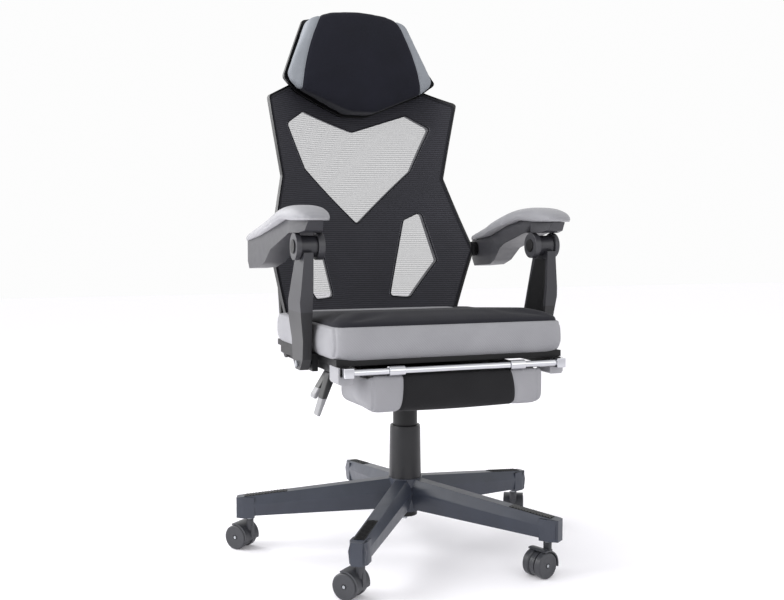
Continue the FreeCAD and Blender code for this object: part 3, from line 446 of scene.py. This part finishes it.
def cords(name, lines, radius, material, sides=6):
    """Round cords along polylines, each a list of points."""
    points, edges, seen = [], [], {}

    def index(point):
        key = tuple(round(c, 6) for c in point)
        if key not in seen:
            seen[key] = len(points)
            points.append(tuple(point))
        return seen[key]

    for line in lines:
        row = [index(point) for point in line]
        edges += [(a, b) for a, b in zip(row, row[1:]) if a != b]
    mesh = bpy.data.meshes.new(name)
    mesh.from_pydata(points, edges, [])
    item = new_object(name, mesh)
    modifier = item.modifiers.new("cord", "NODES")
    modifier.node_group = CORD_TREE
    inputs = {s.name: s.identifier for s in CORD_TREE.interface.items_tree if s.in_out == "INPUT"}
    modifier[inputs["Radius"]] = radius
    modifier[inputs["Sides"]] = sides
    modifier[inputs["Material"]] = material
    plain_mesh(item)
    for face in item.data.polygons:
        face.use_smooth = True
    return item


def loft(name, rings):
    """A closed form through rings of points that all have the same count."""
    def build(shape):
        rows = [[shape.verts.new(point) for point in ring] for ring in rings]
        for low, high in zip(rows, rows[1:]):
            for i in range(len(low)):
                j = (i + 1) % len(low)
                shape.faces.new((low[i], low[j], high[j], high[i]))
        shape.faces.new(rows[0])
        shape.faces.new(rows[-1])
    return object_from(name, build)


def inset(outline, distance):
    """The outline drawn in towards its middle by a distance on each side."""
    xs = [p[0] for p in outline]
    ys = [p[1] for p in outline]
    middle_x, middle_y = (min(xs) + max(xs)) / 2, (min(ys) + max(ys)) / 2
    half_x, half_y = (max(xs) - min(xs)) / 2, (max(ys) - min(ys)) / 2
    scale_x, scale_y = 1 - distance / half_x, 1 - distance / half_y
    return [(middle_x + (x - middle_x) * scale_x, middle_y + (y - middle_y) * scale_y) for x, y in outline]


CLOTH_FRAMES = 20


def stuff(item, voxel, pinned, pressure, cap, keep=None, relax=4):
    """Blow a form up as cloth between its seams, then smooth and refine it; keep holds the result in bounds."""
    remesh = item.modifiers.new("even", "REMESH")
    remesh.mode = "VOXEL"
    remesh.voxel_size = voxel
    soften = item.modifiers.new("soften", "SMOOTH")
    soften.factor = 0.5
    soften.iterations = 5
    plain_mesh(item)
    blow_up(item, [v.co.copy() for v in item.data.vertices], pinned, pressure, cap)
    if keep:
        for vertex in item.data.vertices:
            vertex.co = keep(vertex.co)
    smoother = item.modifiers.new("relax", "SMOOTH")
    smoother.factor = 0.5
    smoother.iterations = relax
    finer = item.modifiers.new("finer", "SUBSURF")
    finer.levels = finer.render_levels = 1
    plain_mesh(item)
    for face in item.data.polygons:
        face.use_smooth = True
    return item


def blow_up(item, rest, pinned, pressure, cap):
    """Run the cloth under pressure, and let no point move further than cap."""
    held = item.vertex_groups.new(name="held")
    for index, point in enumerate(rest):
        weight = pinned(point)
        if weight > 0:
            held.add([index], weight, "REPLACE")
    cloth = item.modifiers.new("fabric", "CLOTH")
    settings = cloth.settings
    settings.quality = 4
    settings.mass = 0.3
    settings.tension_stiffness = settings.compression_stiffness = 12
    settings.shear_stiffness = 6
    settings.bending_stiffness = 1.5
    settings.use_pressure = True
    settings.uniform_pressure_force = pressure
    settings.effector_weights.gravity = 0
    settings.vertex_group_mass = "held"
    cloth.collision_settings.use_collision = False
    cloth.point_cache.frame_start = 1
    cloth.point_cache.frame_end = CLOTH_FRAMES
    for frame_number in range(1, CLOTH_FRAMES + 1):
        bpy.context.scene.frame_set(frame_number)
    plain_mesh(item)
    item.vertex_groups.clear()
    for vertex, start in zip(item.data.vertices, rest):
        shift = vertex.co - start
        if shift.length > cap:
            vertex.co = start + shift.normalized() * cap
    bpy.context.scene.frame_set(1)


def dress(item, body, node):
    """Hang a padded piece on the body it rides on, and hide the piece that it stands for."""
    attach(item, body)
    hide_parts(node)
    return item


# Seat cushion: grey boxing under a dark top panel, with a grey insert towards the back.
WRAP = 0.005  # how far the boxing comes down over the pan
SEAT_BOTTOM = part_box("seat_cushion")[0].z - WRAP
TOP_SEAM = 0.4835
SEAT_HALF, SEAT_FRONT, SEAT_BACK = 0.2335, -0.2475, 0.168
SEAT_OUTLINE = round_corners([(-SEAT_HALF, SEAT_FRONT), (SEAT_HALF, SEAT_FRONT),
                              (SEAT_HALF, SEAT_BACK), (-SEAT_HALF, SEAT_BACK)], 0.034)
SEAT_MOST = 0.2403, -0.2545, 0.176  # how far out the boxing may swell: sides, front, back
CORNER_SEAM = 0.226  # the boxing's upright seams, either side of the middle


def seat_edge(point):
    """How far inside the seat's outline a point is."""
    return min(SEAT_HALF - abs(point.x), point.y - SEAT_FRONT, SEAT_BACK - point.y)


def seat_pinned(point):
    """The cushion is held along its top seam and where it rests on the pan."""
    if seat_edge(point) < 0.010 and abs(point.z - TOP_SEAM) < 0.004:
        return 1.0
    return 1.0 if point.z < SEAT_BOTTOM + 0.006 else 0.0


def seat_crown(inwards, y):
    """Height of the stuffed top above its seam: quick to rise at the edge, and thickest at the front."""
    return max(0.0012, 0.0080 - 0.0660 * y) * (1 - math.exp(-max(0.0, inwards) / 0.017))


def seat_keep(point):
    """The nearest place inside the cushion's bounds."""
    side, front, back = SEAT_MOST
    top = TOP_SEAM + 0.001 + seat_crown(seat_edge(point) + 0.003, point.y)
    return Vector((max(-side, min(side, point.x)), max(front, min(back, point.y)),
                   max(SEAT_BOTTOM, min(top, point.z))))


def at_height(outline, z):
    return [Vector((x, y, z)) for x, y in outline]


seat = loft("seat_upholstery", [at_height(inset(SEAT_OUTLINE, 0.012), SEAT_BOTTOM),
                                at_height(inset(SEAT_OUTLINE, 0.005), SEAT_BOTTOM + 0.005),
                                at_height(SEAT_OUTLINE, SEAT_BOTTOM + 0.018),
                                at_height(inset(SEAT_OUTLINE, 0.001), TOP_SEAM - 0.014),
                                at_height(inset(SEAT_OUTLINE, 0.004), TOP_SEAM)] +
            [[Vector((x, y, TOP_SEAM + seat_crown(step, y) - 0.0005)) for x, y in inset(SEAT_OUTLINE, 0.004 + step)]
             for step in (0.004, 0.010, 0.018, 0.030, 0.048, 0.075, 0.11)])
stuff(seat, 0.006, seat_pinned, 3, 0.024, seat_keep)
two_cloths(seat, (GREY_CLOTH, BLACK_CLOTH), lambda p: p.z - TOP_SEAM)
sew(seat, lambda p: abs(p.z - TOP_SEAM) if seat_edge(p) < 0.025 else 1, 0.0035, 0.003)
sew(seat, lambda p: abs(p.z - TOP_SEAM + 0.009) if seat_edge(p) < 0.02 else 1, 0.0010, 0.0016)
sew(seat, lambda p: abs(abs(p.x) - CORNER_SEAM) if p.y < -0.225 and p.z < TOP_SEAM else 1, 0.0024, 0.0016)


def insert_edge(point):
    """Positive inside the grey insert of the seat's top panel."""
    if point.z < TOP_SEAM:
        return -1
    return 1 - (abs(point.x) / 0.168) ** 2.6 - (abs(point.y - 0.138) / 0.094) ** 2.6


cut_along(seat, insert_edge)
for face in seat.data.polygons:
    if insert_edge(face.center) > 0:
        face.material_index = 0
sew(seat, lambda p: abs(insert_edge(p)) * 0.04 if p.z > TOP_SEAM else 1, 0.003, 0.004)
dress(seat, "seat", "seat_cushion")

# Footrest pad: dark middle between grey ends.
PAD_TOP = 0.3965
PAD_OUTLINE = round_corners([(-0.1700, -0.2590), (0.1770, -0.2590), (0.1770, -0.0850), (-0.1700, -0.0850)], 0.012)


def pad_pinned(point):
    """The pad is held under its board and along the two seams beside its dark middle."""
    return 1.0 if point.z > PAD_TOP - 0.007 or abs(abs(point.x) - 0.112) < 0.003 else 0.0


def pad_keep(point):
    """The nearest place that stays clear of the bar and the rails."""
    top = 0.3895 if point.y > -0.245 else PAD_TOP
    return Vector((max(-0.175, min(0.182, point.x)), max(-0.262, point.y), min(top, point.z)))


def pad_seam(point):
    """Positive in the dark middle, whose ends curve outwards on the way down."""
    depth = (PAD_TOP - point.z) / (PAD_TOP - 0.326)
    side = 0.106 + 0.008 * depth ** 3 if point.x < 0 else 0.109 + 0.008 * math.sin(2.3 * depth)
    return side - abs(point.x)


footrest = loft("footrest_upholstery", [at_height(inset(PAD_OUTLINE, 0.012), 0.3285),
                                        at_height(inset(PAD_OUTLINE, 0.004), 0.332), at_height(PAD_OUTLINE, 0.340),
                                        at_height(PAD_OUTLINE, PAD_TOP - 0.004),
                                        at_height(inset(PAD_OUTLINE, 0.003), PAD_TOP)])
stuff(footrest, 0.005, pad_pinned, 4, 0.009, pad_keep, 3)
two_cloths(footrest, (GREY_CLOTH, FOOT_CLOTH), pad_seam)
sew(footrest, lambda p: abs(pad_seam(p)), 0.0025, 0.003)
sew(footrest, lambda p: abs(abs(p.x) - 0.163) if p.y < -0.22 else 1, 0.0018, 0.0018)
dress(footrest, "footrest_pad", "footrest_cushion")

# Headrest: dark middle, grey side panels.
LEAN_ANGLE = math.radians(9)
LEAN = math.tan(LEAN_ANGLE)
AXIS_Y, AXIS_Z = -0.0278, 0.400  # a point on the axis that the back curves round
SHELL_FRONT_RADIUS = 0.2668
HEAD_PLANE = 0.1595  # y of the headrest's flat front at AXIS_Z
HEAD_OUTLINE = round_corners([(0.0, 1.1505), (0.062, 1.1455), (0.1145, 1.1285), (0.1775, 0.992), (0.143, 0.9665),
                              (0.030, 0.9195), (-0.030, 0.9195), (-0.143, 0.9665), (-0.1775, 0.992),
                              (-0.1145, 1.1285), (-0.062, 1.1455)], 0.022)


def head_ring(outline, depth):
    """The outline at a depth behind the flat front, never behind the shell's curved face."""
    ring = []
    for x, z in outline:
        back = AXIS_Y + LEAN * (z - AXIS_Z) + math.sqrt(SHELL_FRONT_RADIUS ** 2 - x ** 2) / math.cos(LEAN_ANGLE)
        ring.append(Vector((x, min(back, HEAD_PLANE + LEAN * (z - AXIS_Z) + depth), z)))
    return ring


def head_depth(point):
    """How far a point is behind the headrest's flat front."""
    return point.y - HEAD_PLANE - LEAN * (point.z - AXIS_Z)


def head_seam(point):
    """Positive in the dark middle of the headrest, which widens towards the bottom."""
    down = (1.133 - point.z) / 0.17
    return 0.0915 + 0.0885 * down - 0.0385 * down * down - abs(point.x)


headrest = loft("headrest_upholstery", [head_ring(inset(HEAD_OUTLINE, 0.016), 0.001),
                                        head_ring(inset(HEAD_OUTLINE, 0.005), 0.004),
                                        head_ring(HEAD_OUTLINE, 0.0095), head_ring(HEAD_OUTLINE, 0.040),
                                        head_ring(HEAD_OUTLINE, 0.2)])
stuff(headrest, 0.0045, lambda p: 1.0 if head_depth(p) > 0.007 else 0.0, 3, 0.010, relax=10)
two_cloths(headrest, (HEAD_CLOTH, NAVY_CLOTH), head_seam)
sew(headrest, lambda p: abs(head_seam(p)), 0.0022, 0.003)
dress(headrest, "back", "headrest_cushion")


# ---- armrest pads --------------------------------------------------------------------

# Along the arm: y, middle line x, half width, seam height, crown height.
PAD_STATIONS = ((-0.205, 0.247, 0.004, 0.6695, 0.6740), (-0.201, 0.247, 0.014, 0.6695, 0.6785),
                (-0.192, 0.247, 0.023, 0.6695, 0.6845), (-0.175, 0.247, 0.031, 0.6695, 0.6910),
                (-0.150, 0.247, 0.0365, 0.6700, 0.6965), (-0.118, 0.247, 0.0395, 0.6720, 0.6990),
                (-0.089, 0.247, 0.0400, 0.6730, 0.6990), (-0.055, 0.247, 0.0400, 0.6680, 0.6965),
                (-0.022, 0.247, 0.0395, 0.6620, 0.6910), (0.020, 0.248, 0.0380, 0.6550, 0.6820),
                (0.060, 0.251, 0.0345, 0.6485, 0.6740), (0.098, 0.256, 0.0300, 0.6420, 0.6660),
                (0.140, 0.260, 0.0265, 0.6375, 0.6575), (0.175, 0.2625, 0.0245, 0.6335, 0.6500),
                (0.188, 0.2625, 0.0235, 0.6320, 0.6460), (0.192, 0.2625, 0.0210, 0.6315, 0.6420))
RIM = 0.0045  # upright band between the shell and the soft top


def pad_section(sign, y, middle, half, seam, crown, count=40):
    """Half an oval on a short upright rim."""
    ring = []
    for i in range(count + 1):
        angle = math.pi * i / count
        x = math.cos(angle)
        spread = math.copysign(abs(x) ** 0.72, x)
        rise = (crown - seam - RIM) * math.sin(angle) ** 0.80
        ring.append(Vector((sign * (middle + half * spread), y, seam + RIM + rise)))
    foot, lift = half - 0.0012, 0.0004
    return [Vector((sign * (middle + foot), y, seam + lift))] + ring + [
        Vector((sign * (middle - foot), y, seam + lift))]


def eased(stations, steps=4):
    """Extra stations between the given ones, along a smooth curve."""
    out = []
    for i in range(len(stations) - 1):
        before = stations[max(0, i - 1)]
        a, b = stations[i], stations[i + 1]
        after = stations[min(len(stations) - 1, i + 2)]
        for step in range(steps):
            t = step / steps
            smooth = [0.5 * (2 * q + (r - p) * t + (2 * p - 5 * q + 4 * r - s) * t * t +
                             (3 * q - p - 3 * r + s) * t ** 3) for p, q, r, s in zip(before, a, b, after)]
            out.append((a[0] + (b[0] - a[0]) * t, *smooth[1:]))
    return out + [stations[-1]]


def seam_at(y):
    """Height of the pad's seam along the arm."""
    for a, b in zip(PAD_STATIONS, PAD_STATIONS[1:]):
        if y <= b[0]:
            return a[3] + (b[3] - a[3]) * max(0.0, (y - a[0]) / (b[0] - a[0]))
    return PAD_STATIONS[-1][3]


for side_name, sign in SIDES:
    arm = loft(f"arm_pad_skin_{side_name}", [pad_section(sign, *station) for station in eased(PAD_STATIONS)])
    two_cloths(arm, (TRIM_ABS, SKIN), lambda p: p.z - seam_at(p.y) - RIM)
    dress(arm, f"arm_{side_name}", f"arm_pad_{side_name}")


# ---- back fabric ---------------------------------------------------------------------

def mirror_closed(half):
    """A closed outline from its right half."""
    return list(half) + [(-x, z) for x, z in reversed(half) if x != 0]


FABRIC_RADIUS = 0.2822  # the fabric's curve, just proud of the shell's front
CORNER = 0.010
OUTLINE = round_corners(mirror_closed([(0.145, 0.980), (0.217, 0.941), (0.187, 0.774), (0.230, 0.611),
                                       (0.188, 0.445)]), CORNER)
HEART = round_corners(mirror_closed([(0.0, 0.883), (0.125, 0.924), (0.172, 0.892), (0.128, 0.792),
                                     (0.0, 0.668)]), CORNER)
SLOT = round_corners([(0.107, 0.679), (0.145, 0.699), (0.171, 0.585), (0.113, 0.500), (0.068, 0.503)], CORNER)
WINDOWS = [HEART, SLOT, [(-x, z) for x, z in reversed(SLOT)]]


def on_back(x, z, forward=0.0):
    """The point of the back's curved front at (x, z), brought forward of the shell."""
    radius = FABRIC_RADIUS - forward
    return Vector((x, AXIS_Y + LEAN * (z - AXIS_Z) + math.sqrt(radius ** 2 - x ** 2) / math.cos(LEAN_ANGLE), z))


def inside(x, z, loop):
    """Whether (x, z) is inside a closed loop."""
    hit = False
    for (x0, z0), (x1, z1) in zip(loop, loop[1:] + loop[:1]):
        if (z0 > z) != (z1 > z) and x < x0 + (z - z0) / (z1 - z0) * (x1 - x0):
            hit = not hit
    return hit


def edge_distance(x, z, loops):
    """How far (x, z) is from the nearest line of the loops."""
    best = 1.0
    here = Vector((x, z))
    for loop in loops:
        for a, b in zip(loop, loop[1:] + loop[:1]):
            a, b = Vector(a), Vector(b)
            t = max(0.0, min(1.0, (here - a).dot(b - a) / max(1e-12, (b - a).length_squared)))
            best = min(best, (here - a - (b - a) * t).length)
    return best


def even_loop(loop, step):
    """The loop with points about a step apart."""
    out = []
    for a, b in zip(loop, loop[1:] + loop[:1]):
        a, b = Vector(a), Vector(b)
        count = max(1, round((b - a).length / step))
        out += [a.lerp(b, i / count) for i in range(count)]
    return out


def sheet_with_windows(step=0.010):
    """The back's fabric as one curved sheet with its three cut-outs."""
    loops = [even_loop(loop, step) for loop in [OUTLINE] + WINDOWS]
    flat, edges = [], []
    for loop in loops:
        start = len(flat)
        flat += loop
        edges += [(start + i, start + (i + 1) % len(loop)) for i in range(len(loop))]
    widest = round(max(x for x, _ in OUTLINE) / step)
    bottom, top = (round(pick(z for _, z in OUTLINE) / step) for pick in (min, max))
    for row in range(bottom, top + 1):
        for column in range(-widest, widest + 1):
            x, z = column * step, row * step
            if inside(x, z, OUTLINE) and not any(inside(x, z, w) for w in WINDOWS):
                if edge_distance(x, z, [OUTLINE] + WINDOWS) > 0.4 * step:
                    flat.append(Vector((x, z)))
    points, _, faces, *_ = delaunay_2d_cdt(flat, edges, [], 1, 1e-7)
    kept = []
    for face in faces:
        x = sum(points[i][0] for i in face) / len(face)
        z = sum(points[i][1] for i in face) / len(face)
        if not any(inside(x, z, w) for w in WINDOWS):
            kept.append(face)
    swell = [0.0012 * smooth_step(edge_distance(x, z, [OUTLINE] + WINDOWS) / 0.03) for x, z in points]
    mesh = bpy.data.meshes.new("back_mesh_fabric")
    mesh.from_pydata([on_back(x, z, s) for (x, z), s in zip(points, swell)], [], kept)
    item = new_object("back_mesh_fabric", mesh, MESH_CLOTH)
    for face in mesh.polygons:
        face.use_smooth = True
    return item


fabric = sheet_with_windows()
if sum(face.normal.y * face.area for face in fabric.data.polygons) > 0:
    fabric.data.flip_normals()
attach(fabric, "back")
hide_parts("back_mesh")


def window_rows(loop, pitch):
    """Where level lines cross a window: (height, start, end) of each run."""
    heights = [z for _, z in loop]
    runs = []
    for step in range(math.ceil(min(heights) / pitch), math.floor(max(heights) / pitch) + 1):
        at = step * pitch
        cuts = []
        for (x0, z0), (x1, z1) in zip(loop, loop[1:] + loop[:1]):
            if (z0 > at) != (z1 > at):
                cuts.append(x0 + (at - z0) / (z1 - z0) * (x1 - x0))
        cuts.sort()
        runs += [(at, start, end) for start, end in zip(cuts[::2], cuts[1::2])]
    return runs


def run_points(start, end, place):
    """Points of a yarn from start to end, and a little over into the edging."""
    over, gap = 0.003, 0.012
    count = max(2, round((end - start) / gap))
    return [place(start - over + (end - start + 2 * over) * i / count) for i in range(count + 1)]


FINE_PITCH, FINE_PER_RIB = 0.0016, 3  # two fine yarns between each pair of thick ones
level_yarns, fine_yarns = [], []
for window in WINDOWS:
    for at, start, end in window_rows(window, FINE_PITCH):
        yarns = fine_yarns if round(at / FINE_PITCH) % FINE_PER_RIB else level_yarns
        yarns.append(run_points(start, end, lambda x, z=at: on_back(x, z, 0.0002)))
open_mesh = cords("back_mesh_yarns", level_yarns, 0.00055, YARN, 5)
fine_mesh = cords("back_mesh_fine_yarns", fine_yarns, 0.00032, YARN, 4)


def piping(name, loops, forward, radius):
    """A bound edge: a covered cord along each loop."""
    lines = [[on_back(x, z, forward) for x, z in even_loop(loop, 0.006) + [loop[0]]] for loop in loops]
    return cords(name, lines, radius, BLACK_CLOTH, 8)


edging = piping("back_mesh_edging", WINDOWS, 0.0004, 0.0016)
outer_edging = piping("back_outer_piping", [OUTLINE], -0.0006, 0.0026)
for piece in (open_mesh, fine_mesh, edging, outer_edging):
    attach(piece, "back")


# ---- trim, and painted shade on the posts --------------------------------------------

def plate(name, outline, start, end, body, material, turn):
    """A flat plate, either a moulding or a sheet of painted shade: an outline carried from start to end, turn placing
    (a, b, depth) in space.
    """
    item = loft(name, [[Vector(turn(a, b, depth)) for a, b in outline] for depth in (start, end)])
    item.data.materials.append(material)
    edge = item.modifiers.new("edge", "BEVEL")
    edge.width, edge.segments, edge.limit_method = 0.0008, 2, "ANGLE"
    plain_mesh(item)
    for face in item.data.polygons:
        face.use_smooth = False
    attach(item, body)
    return item


RAIL_COVER = ((0.2245, 0.4122), (0.2245, 0.3860), (0.2215, 0.3815), (0.1990, 0.3815), (0.1965, 0.3840),
              (0.1965, 0.3958), (0.2207, 0.3958), (0.2207, 0.4122))
# Black plates on the posts' inner faces are painted shade: a dark sheet where the recess of each post's inner side
# lies in shade.
POST_SHADE_PANEL = ((-0.149, 0.596), (-0.146, 0.545), (-0.139, 0.495), (-0.131, 0.430), (-0.080, 0.430), (-0.069, 0.490),
              (-0.084, 0.545), (-0.107, 0.596))
for side_name, sign in SIDES:
    plate(f"rail_cover_{side_name}", RAIL_COVER, -0.247, -0.196, "seat", TRIM_ABS,
          lambda a, b, d: (sign * a, d, b))
    inner = sign * 0.241
    plate(f"post_shade_panel_{side_name}", POST_SHADE_PANEL, inner - sign * 0.0006, inner + sign * 0.001, f"post_{side_name}",
          BLACK_ABS, lambda a, b, d: (d, a, b))


# ---- tread ribs ----------------------------------------------------------------------

def tread_ribs():
    """Diagonal ribs across the inserts on top of the base's arms."""
    surface = BVHTree.FromObject(nodes["tread_inserts"], bpy.context.evaluated_depsgraph_get())
    first_reach, pitch, slant, half_length = 0.247, 0.0062, 0.004, 0.008
    lines = []
    for index in range(5):
        angle = math.radians(18 + 72 * index)
        out = Vector((math.cos(angle), math.sin(angle), 0))
        across = Vector((-out.y, out.x, 0))
        for step in range(14):
            reach = first_reach + pitch * step
            line = []
            for t in (-1, -0.5, 0, 0.5, 1):
                spot = out * (reach - slant * t) + across * (half_length * t)
                hit = surface.ray_cast(Vector((spot.x, spot.y, 0.3)), Vector((0, 0, -1)))[0]
                if hit:
                    line.append(hit)
            if len(line) > 1:
                lines.append(line)
    item = cords("tread_ribs", lines, 0.0011, BLACK_ABS, 6)
    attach(item, "base")


tread_ribs()


# ---- back of the shells --------------------------------------------------------------

def stud_tree():
    """Geometry Nodes: a low screw head standing out along Y at every point of a mesh."""
    tree = bpy.data.node_groups.new("screw_heads_at_points", "GeometryNodeTree")
    tree.interface.new_socket("Geometry", in_out="INPUT", socket_type="NodeSocketGeometry")
    tree.interface.new_socket("Radius", in_out="INPUT", socket_type="NodeSocketFloat")
    tree.interface.new_socket("Material", in_out="INPUT", socket_type="NodeSocketMaterial")
    tree.interface.new_socket("Geometry", in_out="OUTPUT", socket_type="NodeSocketGeometry")
    given = add(tree, "NodeGroupInput")
    head = add(tree, "GeometryNodeMeshCone", {"Vertices": 24, "Depth": 0.0024},
               {"Radius Bottom": given.outputs["Radius"]})
    rim = add(tree, "ShaderNodeMath", operation="MULTIPLY", values={1: 0.72}, links={0: given.outputs["Radius"]})
    tree.links.new(rim.outputs[0], head.inputs["Radius Top"])
    heads = add(tree, "GeometryNodeInstanceOnPoints", {"Rotation": (-math.pi / 2 - LEAN_ANGLE, 0, 0)},
                {"Points": given.outputs["Geometry"], "Instance": head.outputs["Mesh"]})
    whole = add(tree, "GeometryNodeRealizeInstances", links={"Geometry": heads.outputs["Instances"]})
    finished = add(tree, "GeometryNodeSetMaterial", links={"Geometry": whole.outputs["Geometry"],
                                                           "Material": given.outputs["Material"]})
    add(tree, "NodeGroupOutput", links={"Geometry": finished.outputs["Geometry"]})
    return tree


def rear_of(node):
    """A function that gives the rearmost point of a shell at (x, z), or None."""
    surface = BVHTree.FromObject(nodes[node], bpy.context.evaluated_depsgraph_get())

    def touch(x, z):
        return surface.ray_cast(Vector((x, 0.7, z)), Vector((0, -1, 0)))[0]
    return touch


def shell_ribs(name, node, loops, radius):
    """Raised stiffening beads on the back of a shell."""
    touch = rear_of(node)
    lines = []
    for loop in loops:
        run = []
        for x, z in even_loop(loop, 0.006) + [loop[0]]:
            spot = touch(x, z)
            if spot:
                run.append(spot)
            else:
                lines.append(run)
                run = []
        lines.append(run)
    item = cords(name, [line for line in lines if len(line) > 1], radius, BLACK_ABS, 8)
    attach(item, "back")


def screw_heads(name, node, spots, radius):
    """A screw head at each (x, z) on the back of a shell."""
    touch = rear_of(node)
    mesh = bpy.data.meshes.new(name)
    mesh.from_pydata([spot for spot in (touch(x, z) for x, z in spots) if spot], [], [])
    item = new_object(name, mesh)
    modifier = item.modifiers.new("heads", "NODES")
    modifier.node_group = STUD_TREE
    inputs = {s.name: s.identifier for s in STUD_TREE.interface.items_tree if s.in_out == "INPUT"}
    modifier[inputs["Radius"]] = radius
    modifier[inputs["Material"]] = ZINC
    plain_mesh(item)
    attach(item, "back")


STUD_TREE = stud_tree()
shell_ribs("back_shell_beads", "back_frame",
           [inset(OUTLINE, 0.011)] + [inset(window, -0.011) for window in WINDOWS], 0.0014)
shell_ribs("headrest_shell_bead", "headrest_shell", [inset(HEAD_OUTLINE, 0.014)], 0.0014)
screw_heads("back_shell_screws", "back_frame", [(side * x, z) for side in (-1, 1)
                                                for x, z in ((0.045, 0.475), (0.045, 0.560), (0.150, 0.955))], 0.0048)
screw_heads("headrest_shell_screws", "headrest_shell", [(side * 0.055, z) for side in (-1, 1)
                                                        for z in (1.000, 1.070)], 0.0048)


# ---- studio --------------------------------------------------------------------------

def seamless_paper():
    """White backdrop paper, lit a little from within so that it stays white away from the lamps."""
    material, tree, shader = start_material("white_seamless_paper", "#f6f5f9", 0.9, Emission_Strength=0.085)
    shader.inputs["Emission Color"].default_value = linear("#fffbff")
    return material


floor_mesh = bpy.data.meshes.new("studio_floor")
floor_mesh.from_pydata([(-9, -9, 0), (9, -9, 0), (9, 9, 0), (-9, 9, 0)], [], [(0, 1, 2, 3)])
floor = new_object("studio_floor", floor_mesh, seamless_paper())


def softbox(name, place, aim, width, height, watts):
    """A soft rectangular lamp at place, aimed at a point."""
    data = bpy.data.lights.new(name, "AREA")
    data.shape = "RECTANGLE"
    data.size, data.size_y, data.energy = width, height, watts
    item = bpy.data.objects.new(name, data)
    bpy.context.scene.collection.objects.link(item)
    item.location = place
    item.rotation_mode = "QUATERNION"
    item.rotation_quaternion = (Vector(aim) - Vector(place)).to_track_quat("-Z", "Y")
    return item


softbox("key_left", (-2.6, 0.3, 1.6), (0, 0, 0.5), 1.8, 2.4, 60)
softbox("back_left", (-1.4, 2.2, 1.7), (0, 0.1, 0.6), 1.4, 1.8, 30)
softbox("front_fill", (1.0, -2.8, 1.6), (0, 0, 0.5), 2.2, 1.8, 14)
sky = bpy.data.worlds.new("studio")
bpy.context.scene.world = sky
bpy.context.scene.view_settings.view_transform = "Standard"
sky.use_nodes = True
sky.node_tree.nodes["Background"].inputs["Color"].default_value = linear("#ffffff")
sky.node_tree.nodes["Background"].inputs["Strength"].default_value = 0.98

camera_data = bpy.data.cameras.new("camera")
camera_data.lens, camera_data.sensor_width = 46.06, 36  # mm
camera = bpy.data.objects.new("camera", camera_data)
bpy.context.scene.collection.objects.link(camera)
camera.location = (-0.762, -1.900, 0.643)
camera.rotation_euler = (math.radians(90 - 3.68), 0, math.radians(-21.1))
bpy.context.scene.camera = camera
